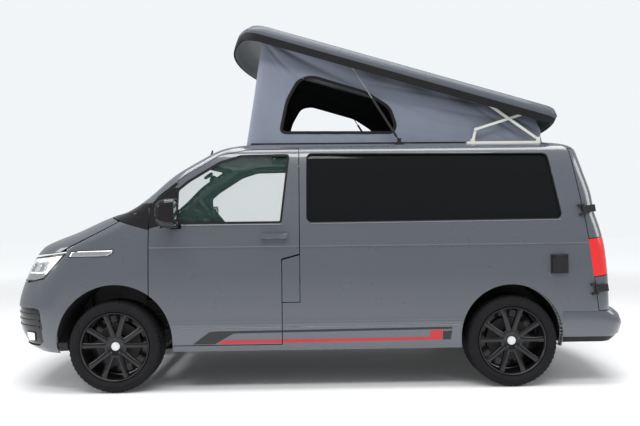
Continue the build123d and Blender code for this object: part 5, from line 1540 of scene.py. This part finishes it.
# Name, outline, corner radius, wrap, body, width of the seal
PANES = (
    ("door_left", DOOR_PANE, 0.028, on_left, "front_door_left", 0.016),
    ("door_right", DOOR_PANE, 0.028, on_right, "front_door_right", 0.016),
    ("long_left", LONG_PANE, 0.045, on_left, "body", 0.007),
    ("slider", SLIDER_PANE, 0.045, on_right, "body", 0.007),
    ("quarter", QUARTER_PANE, 0.045, on_right, "body", 0.007),
    ("screen", SCREEN_PANE, 0.060, on_nose, "body", 0.030),
    ("rear_left", REAR_PANE, 0.050, on_tail, "rear_door_left", 0.016),
    ("rear_right", MIRRORED_PANE, 0.050, on_tail, "rear_door_right", 0.016),
)
SEAL_GAP = 0.0006
SEAL_LOW, SEAL_HIGH = -0.0225, -0.0030
for name, outline, radius, wrap, body, width in PANES:
    outer = grown(rounded(outline, radius), -SEAL_GAP)
    ring = {"holes": [grown(outer, -width)], "step": 0.04}
    slab("seal_" + name, outer, SEAL_LOW, SEAL_HIGH, wrap, "rubber", "black_plastic", body, **ring)
# The bright strip at each door's waist is partly trim and partly a painted highlight along the glass's lower
# edge
WAIST_STRIP_AND_HIGHLIGHT = oblong(-1.082, -0.292, 1.2462, 1.2530)
for name, _, wrap in SIDES:
    slab("waist_strip_and_highlight_" + name, WAIST_STRIP_AND_HIGHLIGHT, 0.0003, 0.0040, wrap, "bright", "body_paint", "front_door_" + name)
# A thin bright line under the long left pane: a painted highlight along the glass's lower edge
WAIST_HIGHLIGHT_LINE = [(-0.060, 1.2495), (1.845, 1.2592), (1.845, 1.2628), (-0.060, 1.2532)]
slab("waist_highlight_line_left", WAIST_HIGHLIGHT_LINE, 0.0003, 0.0024, on_left, "bright", "body_paint")
print("seals:", len(PANES))

# %% Mirrors
MIRROR_X, MIRROR_Y = -1.0608, 1.0665
MIRROR_FACE = rounded(oblong(-0.0665, 0.0665, 1.2445, 1.4295), 0.032)


def on_mirror(side):
    """A wrap onto the flat rear face of a mirror housing, outwards to the rear."""
    return lambda u, v, t: np.column_stack([t + MIRROR_X, u + side * MIRROR_Y, v])


for name, side, _ in SIDES:
    mesh = finished(welded(nodes["mirror_" + name].data), "mirror_housing_" + name, ["black_gloss"])
    smooth_faces(mesh, 42.0)
    carry(new_piece("mirror_housing_" + name, mesh), "mirror_" + name)
    glass = {"body": "front_door_" + name, "soft": 0.002}
    wrap = on_mirror(side)
    slab("mirror_glass_" + name, MIRROR_FACE, 0.0004, 0.0040, wrap, "mirror_glass", "clear_glass", **glass)
print("mirrors done")

# %% [markdown]
# ## Rear end and small fittings
# The tail lamps follow the smooth body surface. The bumper keeps its own shape and gets a black lower
# lip. A blank plate and a pull handle are on the left rear door, and a rail and a grip serve the
# sliding door. Wipers lie at the foot of the windscreen, a stub aerial stands on the roof, and black
# flaps end the front wheel arches. Each could be modelled by hand at its place, but a slab sits true
# on the curved skin at once.

# %% Tail lamps and rear bumper
LAMP_CUTS = {2: grid(0.83, 1.11, 0.02), 1: grid(-0.94, 0.94, 0.02)}
panel("tail_lamps", LAMP_CUTS, skin="red_lens", inner="black_grain")
BUMPER_LIP, LIP_JOINT = 0.372, 0.385
work = sliced(nodes["rear_bumper"].data, {2: [BUMPER_LIP, LIP_JOINT]})
mesh = finished(work, "rear_bumper_skin", ("paint", "black_grain"))
for face in mesh.polygons:
    face.material_index = 1 if face.center.z < BUMPER_LIP else 0
smooth_faces(mesh, 30.0)
carry(new_piece("rear_bumper_skin", mesh), "rear_bumper")
print("rear bumper:", len(mesh.polygons), "faces")

# %% Fittings of the rear door and the sliding door
REAR_PLATE = rounded(oblong(-0.62, -0.10, 0.660, 0.772), 0.010)
REAR_FRAME = grown(REAR_PLATE, PLATE_RIM)
PULL = rounded(oblong(-0.200, -0.040, 0.960, 0.998), 0.014)
STOP_LAMP = rounded(oblong(-0.150, -0.030, 1.752, 1.772), 0.006)
# Name, outline, lowest and highest above the skin, finish, slot, and the grid and edge of the slab
REAR_FITTINGS = (
    ("plate_rear_frame", REAR_FRAME, -0.001, 0.006, "black_grain", "black_gloss", 0.06, 0.0),
    ("plate_rear", REAR_PLATE, 0.003, 0.0078, "plate", "body_paint", 0.06, 0.0),
    ("rear_pull", PULL, -0.001, 0.014, "black_gloss", "black_gloss", 0.05, 0.006),
    ("stop_lamp", STOP_LAMP, -0.001, 0.005, "red_lens", "red_lamp", 0.05, 0.003),
)
for name, outline, low, high, key, slot, step, soft in REAR_FITTINGS:
    slab(name, outline, low, high, on_tail, key, slot, "rear_door_left", step=step, soft=soft)
RAIL = oblong(1.000, 1.960, 1.092, 1.112)
slab("slider_rail", RAIL, 0.0004, 0.0030, on_right, "black_grain", "black_plastic", step=0.06)
GRIP = rounded(oblong(-0.020, 0.170, 1.142, 1.180), 0.016)
slab("slider_grip", GRIP, -0.0005, 0.020, on_right, "paint", "body_paint", soft=0.008)
print("rear done:", len(REAR_FITTINGS), "fittings on the left door")

# %% Wipers, aerial and flaps
WIPERS = {
    "driver": [(-0.640, 1.384), (-0.628, 1.376), (0.060, 1.402), (0.056, 1.414)],
    "passenger": [(0.040, 1.384), (0.052, 1.376), (0.640, 1.398), (0.634, 1.410)],
}
for name, outline in WIPERS.items():
    slab("wiper_" + name, outline, -0.0150, -0.0010, on_nose, "black_grain", "black_plastic", soft=0.002)
# The aerial's sections: height above the roof, radius, lean to the rear
AERIAL = (
    (-0.012, 0.015, 0.0),
    (0.006, 0.014, 0.0),
    (0.016, 0.009, 0.002),
    (0.032, 0.0065, 0.006),
    (0.060, 0.0045, 0.013),
)
AERIAL_FROM = Vector((-0.900, -0.34, 2.2))
AERIAL_LONG = 1.4
roof = nodes["roof_frame"].data
roof_tree = BVHTree.FromPolygons([v.co for v in roof.vertices], [tuple(p.vertices) for p in roof.polygons])
spot = roof_tree.ray_cast(AERIAL_FROM, Vector((0.0, 0.0, -1.0)))[0]
stub = []
for rise, radius, lean in AERIAL:
    ring = [(AERIAL_LONG * u, v) for u, v in circle(0.0, 0.0, radius, 20)]
    stub.append([(spot.x + lean + u, spot.y + v, spot.z + rise) for u, v in ring])
built("roof_aerial", [(*lofted(stub), 0)], ["black_grain"], 40.0)
FLAP = [(-1.968, 0.384), (-1.888, 0.384), (-1.884, 0.318), (-1.956, 0.312)]
flap_edge = {"step": 0.03, "soft": 0.004}
for name, _, wrap in SIDES:
    slab("arch_flap_" + name, FLAP, -0.040, -0.006, wrap, "black_grain", "black_plastic", **flap_edge)
print("fittings done, aerial at height", round(spot.z, 3))

# %% [markdown]
# ## Wheel arches
# A black lip of bent plastic runs round inside each arch and hides the gap between panel and liner.
# A bevelled curve could make it, but a loft keeps its outer edge on the flank all the way round. At
# the front the wing's foot closes the corner between bumper and arch.

# %% Arch lips and wing feet
# Arch of each axle: middle from the tyre's, height and radius
ARCH = {"front": (0.006, 0.380, 0.430), "rear": (-0.009, 0.392, 0.384)}
ARCH_FOOT, LIP_SET, LIP_DEEP = 0.318, 0.004, 0.24
LIP_INNER, LIP_OUTER = 0.0015, 0.0045
FOOT_LEVELS = (0.655, 0.62, 0.59, 0.56)
FOOT_CORNER = [(-1.9412, 0.530), (-1.9412, 0.6012), (-1.8680, 0.6912), (-1.8680, 0.662)]
FOOT_GAP = 0.0012


def arch_lip(middle, level, radius, side):
    """Sections of the lip round an arch, from its front foot to its rear one."""
    sections = []
    for a in np.linspace(radians(-10.0), radians(190.0), 61):
        x, z = middle + radius * cos(a), max(level + radius * sin(a), ARCH_FOOT)
        lip = float(side_y(np.array([x]), np.array([z]))[0]) - LIP_SET
        away = Vector((cos(a), 0.0, max(sin(a), 0.0)))
        ring = oblong(lip, lip - LIP_DEEP, LIP_INNER, LIP_OUTER)
        sections.append([Vector((x, side * y, z)) + away * out for y, out in ring])
    return sections


for corner in CORNERS:
    tyre_middle, side = tyre_place(corner)
    axle = corner.split("_")[0]
    shift, level, radius = ARCH[axle]
    middle = tyre_middle.x + shift
    sections = arch_lip(middle, level, radius, side)
    built("arch_lip_" + corner, [(*lofted(sections), 0)], ["black_grain"], 50.0)
    if axle == "front":
        arc = [(middle - sqrt(radius**2 - (z - level) ** 2) - FOOT_GAP, z) for z in FOOT_LEVELS]
        foot = (FOOT_CORNER + arc)[::-1]
        slab("wing_foot_" + corner, foot, -0.012, 0.0, on_flank(side), "paint", "body_paint", step=0.02)
print("arches done")

# %% [markdown]
# ## Inside
# The seats are foam under cloth. They could be draped by a cloth simulation, but they show only
# through glass, so each pad is a rounded block whose roundness differs between its long and its short
# way, with a shallow welt line. Each seat has a base, a back, two side rolls and a head restraint on
# posts, and the bench is the same in three places. The kitchen unit gets fronts and knobs, so that it
# reads through the panes.

# %% Stuffed pads
PAD_ROWS, PAD_COUNT = 18, 36
WELT_AT, WELT_WIDTH = 0.55, 0.004


def pillow(centre, size, lean=0.0, square=0.32, welt=0.0):
    """A stuffed block: a superellipsoid, drawn in where its welt runs round."""
    turn = Matrix.Rotation(radians(lean), 3, "Y")

    def bend(value):
        return np.sign(value) * np.abs(value) ** square

    points = []
    for i in range(1, PAD_ROWS):
        up = -pi / 2 + pi * i / PAD_ROWS
        for k in range(PAD_COUNT):
            a = 2 * pi * k / PAD_COUNT
            unit = [bend(cos(up)) * bend(cos(a)), bend(cos(up)) * bend(sin(a)), bend(sin(up))]
            p = np.array(unit) * np.array(size) / 2
            p *= 1.0 - welt * np.exp(-((np.sin(up) - WELT_AT) ** 2) / WELT_WIDTH)
            points.append(Vector(centre) + turn @ Vector(p))
    sections = [points[k : k + PAD_COUNT] for k in range(0, len(points), PAD_COUNT)]
    return (*lofted(sections), 0)


def seat_parts(y, width):
    """Base, back, side rolls and head restraint of one place, y being its middle."""
    parts = [
        pillow((-0.500, y, 0.872), (0.450, width, 0.130), 4.0, welt=0.05),
        pillow((-0.192, y, 1.150), (0.125, width * 0.94, 0.560), 13.0, welt=0.0),
        pillow((-0.130, y, 1.555), (0.095, 0.250, 0.165), 8.0, 0.45),
    ]
    for side in (-1, 1):
        base_roll, back_roll = y + side * (width / 2 - 0.045), y + side * (width / 2 - 0.055)
        parts.append(pillow((-0.495, base_roll, 0.886), (0.430, 0.095, 0.120), 4.0, 0.5))
        parts.append(pillow((-0.215, back_roll, 1.120), (0.130, 0.095, 0.420), 13.0, 0.5))
    return parts


print("a pad has", PAD_ROWS - 1, "rings of", PAD_COUNT, "points")

# %% Seats and bench
SEAT_Y, SEAT_WIDTH = 0.430, 0.480
BENCH_PLACES = (-0.280, 0.055, 0.390)
POST = [(0.0002, -0.06), (0.0065, -0.06), (0.0065, 0.06), (0.0002, 0.06)]
POST_SIDE = 0.055
for name, y in (("driver", -SEAT_Y), ("passenger", SEAT_Y)):
    piece = built("seat_" + name, seat_parts(y, SEAT_WIDTH), ["seat"], 60.0)
    if name == "driver":
        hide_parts("seats")
    foot = [pillow((-0.420, y, 0.650), (0.420, 0.400, 0.320), 0.0, 0.16)]
    for side in (-1, 1):
        stand = Matrix.Translation((-0.146, y + side * POST_SIDE, 1.445))
        foot.append(moved((*turned(POST, 14), 1), stand @ Matrix.Rotation(radians(90.0), 4, "X")))
    built("seat_foot_" + name, foot, ["black_grain", "steel"], 40.0)
bench = []
for y in BENCH_PLACES:
    bench.append(pillow((1.320, y, 0.880), (0.430, 0.330, 0.140), 3.0, welt=0.05))
    bench.append(pillow((1.625, y, 1.165), (0.115, 0.325, 0.470), 12.0))
piece = built("bench_pads", bench, ["seat"], 60.0)
bench_box = pillow((1.390, 0.055, 0.640), (0.520, 1.000, 0.320), 0.0, 0.12)
built("bench_box", [bench_box], ["board"], 40.0)
print("seats done: two in front,", len(BENCH_PLACES), "places on the bench")

# %% Kitchen fronts and rear-view mirror
UNIT_Y = -0.470
UNIT_COLUMNS = ((0.075, 0.380), (0.390, 0.690), (0.700, 0.995))
UNIT_ROWS = {"door": (0.560, 0.990), "drawer": (1.000, 1.195)}
KNOB_R, KNOB_BELOW = 0.016, 0.045


def on_unit(u, v, t):
    return np.column_stack([u, t + UNIT_Y, v])


def unit_front(name, low, high, foot, head):
    """One front of the unit and its knob, named after the front's row and column."""
    front = rounded(oblong(low, high, foot, head), 0.012)
    slab("unit_" + name, front, 0.0004, 0.014, on_unit, "board", "furniture", step=0.2, soft=0.003)
    knob = circle((low + high) / 2, head - KNOB_BELOW, KNOB_R, 18)
    slab("unit_knob_" + name, knob, 0.013, 0.024, on_unit, "bright", "furniture", soft=0.004)


for k, (low, high) in enumerate(UNIT_COLUMNS):
    for row, (foot, head) in UNIT_ROWS.items():
        unit_front(f"{row}_{k}", low, high, foot, head)
inside_mirror = [
    pillow((-0.930, -0.010, 1.655), (0.040, 0.235, 0.070), 12.0, 0.4),
    pillow((-0.975, -0.010, 1.690), (0.090, 0.030, 0.030), -35.0, 0.6),
]
built("inside_mirror", inside_mirror, ["black_grain"], 50.0)
print("inside done:", len(UNIT_COLUMNS) * len(UNIT_ROWS), "fronts on the unit")

# %% [markdown]
# ## The studio
# A wide pale floor, a soft lamp overhead, a long one high on the left and two at the ends. Near the
# van the floor is plain, so that it keeps the shadow. Further out it is lifted to the white of the
# sky. More light could whiten it too, but would wash out the van, so the lift is for camera rays only,
# and floor and sky meet without a line.

# %% Floor
FLOOR_RINGS = (0.0, 3.0, 6.0, 12.0, 24.0, 45.0)
FLOOR_COUNT = 48
LIFT_FROM, LIFT_TO = 3.2, 13.0
LIFT_NEAR, LIFT_FAR = 0.02, 0.55


def studio_white():
    constants = {"Specular_IOR_Level": 0.2, "Emission_Strength": 1.0}
    finish, root, vary = start("studio_floor", (0.86, 0.86, 0.86), 0.6, **constants)
    speck = noise(root, 40.0, 4.0)
    away = root.node("VectorMath", {"operation": "LENGTH"}, {0: place(root)}, out="Value")
    white = LIFT_NEAR + ramp(away, LIFT_FROM, LIFT_TO) * LIFT_FAR
    lift = root.node("LightPath", out="Is Camera Ray") * white
    vary(
        Base_Color=speck.blend((0.84, 0.85, 0.86, 1), (0.88, 0.89, 0.90, 1)),
        Roughness=0.5 + speck * 0.2,
        Emission_Color=lift.blend((0.0, 0.0, 0.0, 1), (0.97, 0.99, 1.0, 1)),
    )
    return finish


def floor_disc():
    count = FLOOR_COUNT
    points = [(0.0, 0.0, 0.0)]
    for r in FLOOR_RINGS[1:]:
        points += [(r * cos(2 * pi * k / count), r * sin(2 * pi * k / count), 0.0) for k in range(count)]
    faces = [(0, 1 + k, 1 + (k + 1) % count) for k in range(count)]
    for i in range(len(FLOOR_RINGS) - 2):
        a, b = 1 + i * count, 1 + (i + 1) * count
        faces += [(a + k, b + k, b + (k + 1) % count, a + (k + 1) % count) for k in range(count)]
    mesh = bpy.data.meshes.new("studio_floor")
    mesh.from_pydata(points, [], faces)
    mesh.materials.append(studio_white())
    return new_piece("studio_floor", mesh)


floor_disc()
print("floor laid,", FLOOR_RINGS[-1], "m to its edge")


# %% Soft lamps and a dim, even sky
def soft_lamp(name, at, aim, size, power):
    data = bpy.data.lights.new(name, "AREA")
    data.shape = "RECTANGLE"
    data.size, data.size_y = size
    data.energy = power
    lamp = new_piece(name, data)
    lamp.location = at
    lamp.rotation_euler = (Vector(aim) - Vector(at)).to_track_quat("-Z", "Y").to_euler()


soft_lamp("overhead", (0.0, -0.6, 6.0), (0.0, 0.0, 0.0), (8.5, 3.2), 520)
soft_lamp("left_strip", (-0.5, -5.0, 7.4), (0.0, 0.0, 1.0), (8.0, 1.4), 330)
soft_lamp("nose", (-6.5, -2.5, 3.2), (-1.5, 0.0, 1.0), (2.5, 2.5), 110)
soft_lamp("tail", (6.5, -2.0, 3.2), (1.5, 0.0, 1.0), (2.5, 2.5), 90)
world = bpy.data.worlds.new("studio_sky")
bpy.context.scene.world = world
world.use_nodes = True
sky = Wire(world.node_tree)
seen = sky.node("LightPath", out="Is Camera Ray")
tint = seen.blend((0.40, 0.405, 0.415, 1), (0.885, 0.915, 0.935, 1))
background = world.node_tree.nodes["Background"]
sky.feed(background.inputs["Color"], tint)
sky.feed(background.inputs["Strength"], 1.0)
print("lamps lit")

# %% [markdown]
# ## The camera
# Found by matching the wheel centres, the roof and the lamps of the photograph: about five and a
# half metres from the left side, at chest height, with a 35 mm lens. It could be aimed with a Track To
# constraint, but the photograph is slightly rolled, so its three axes are worked out here.

# %% Camera
IMAGE_WIDTH, FOCAL_PIXELS = 640, 622.4
SENSOR_MM = 36.0
CAMERA_AT = (-0.095, -5.627, 1.253)
YAW, PITCH, ROLL = radians(1.22), radians(0.942), radians(-0.641)
forward = Vector((sin(YAW) * cos(PITCH), cos(YAW) * cos(PITCH), sin(PITCH)))
right = Vector((cos(YAW), -sin(YAW), 0.0))
up = right.cross(forward)
level_right = right * cos(ROLL) + up * sin(ROLL)
level_up = up * cos(ROLL) - right * sin(ROLL)
lens_data = bpy.data.cameras.new("camera")
lens_data.sensor_fit = "HORIZONTAL"
lens_data.sensor_width = SENSOR_MM
lens_data.lens = FOCAL_PIXELS / IMAGE_WIDTH * SENSOR_MM
camera = new_piece("camera", lens_data)
aimed = Matrix((level_right, level_up, -forward)).transposed()
camera.matrix_world = Matrix.Translation(CAMERA_AT) @ aimed.to_4x4()
bpy.context.scene.camera = camera
bpy.context.scene.view_settings.view_transform = "Standard"
print("camera set, lens", round(lens_data.lens, 1), "mm")
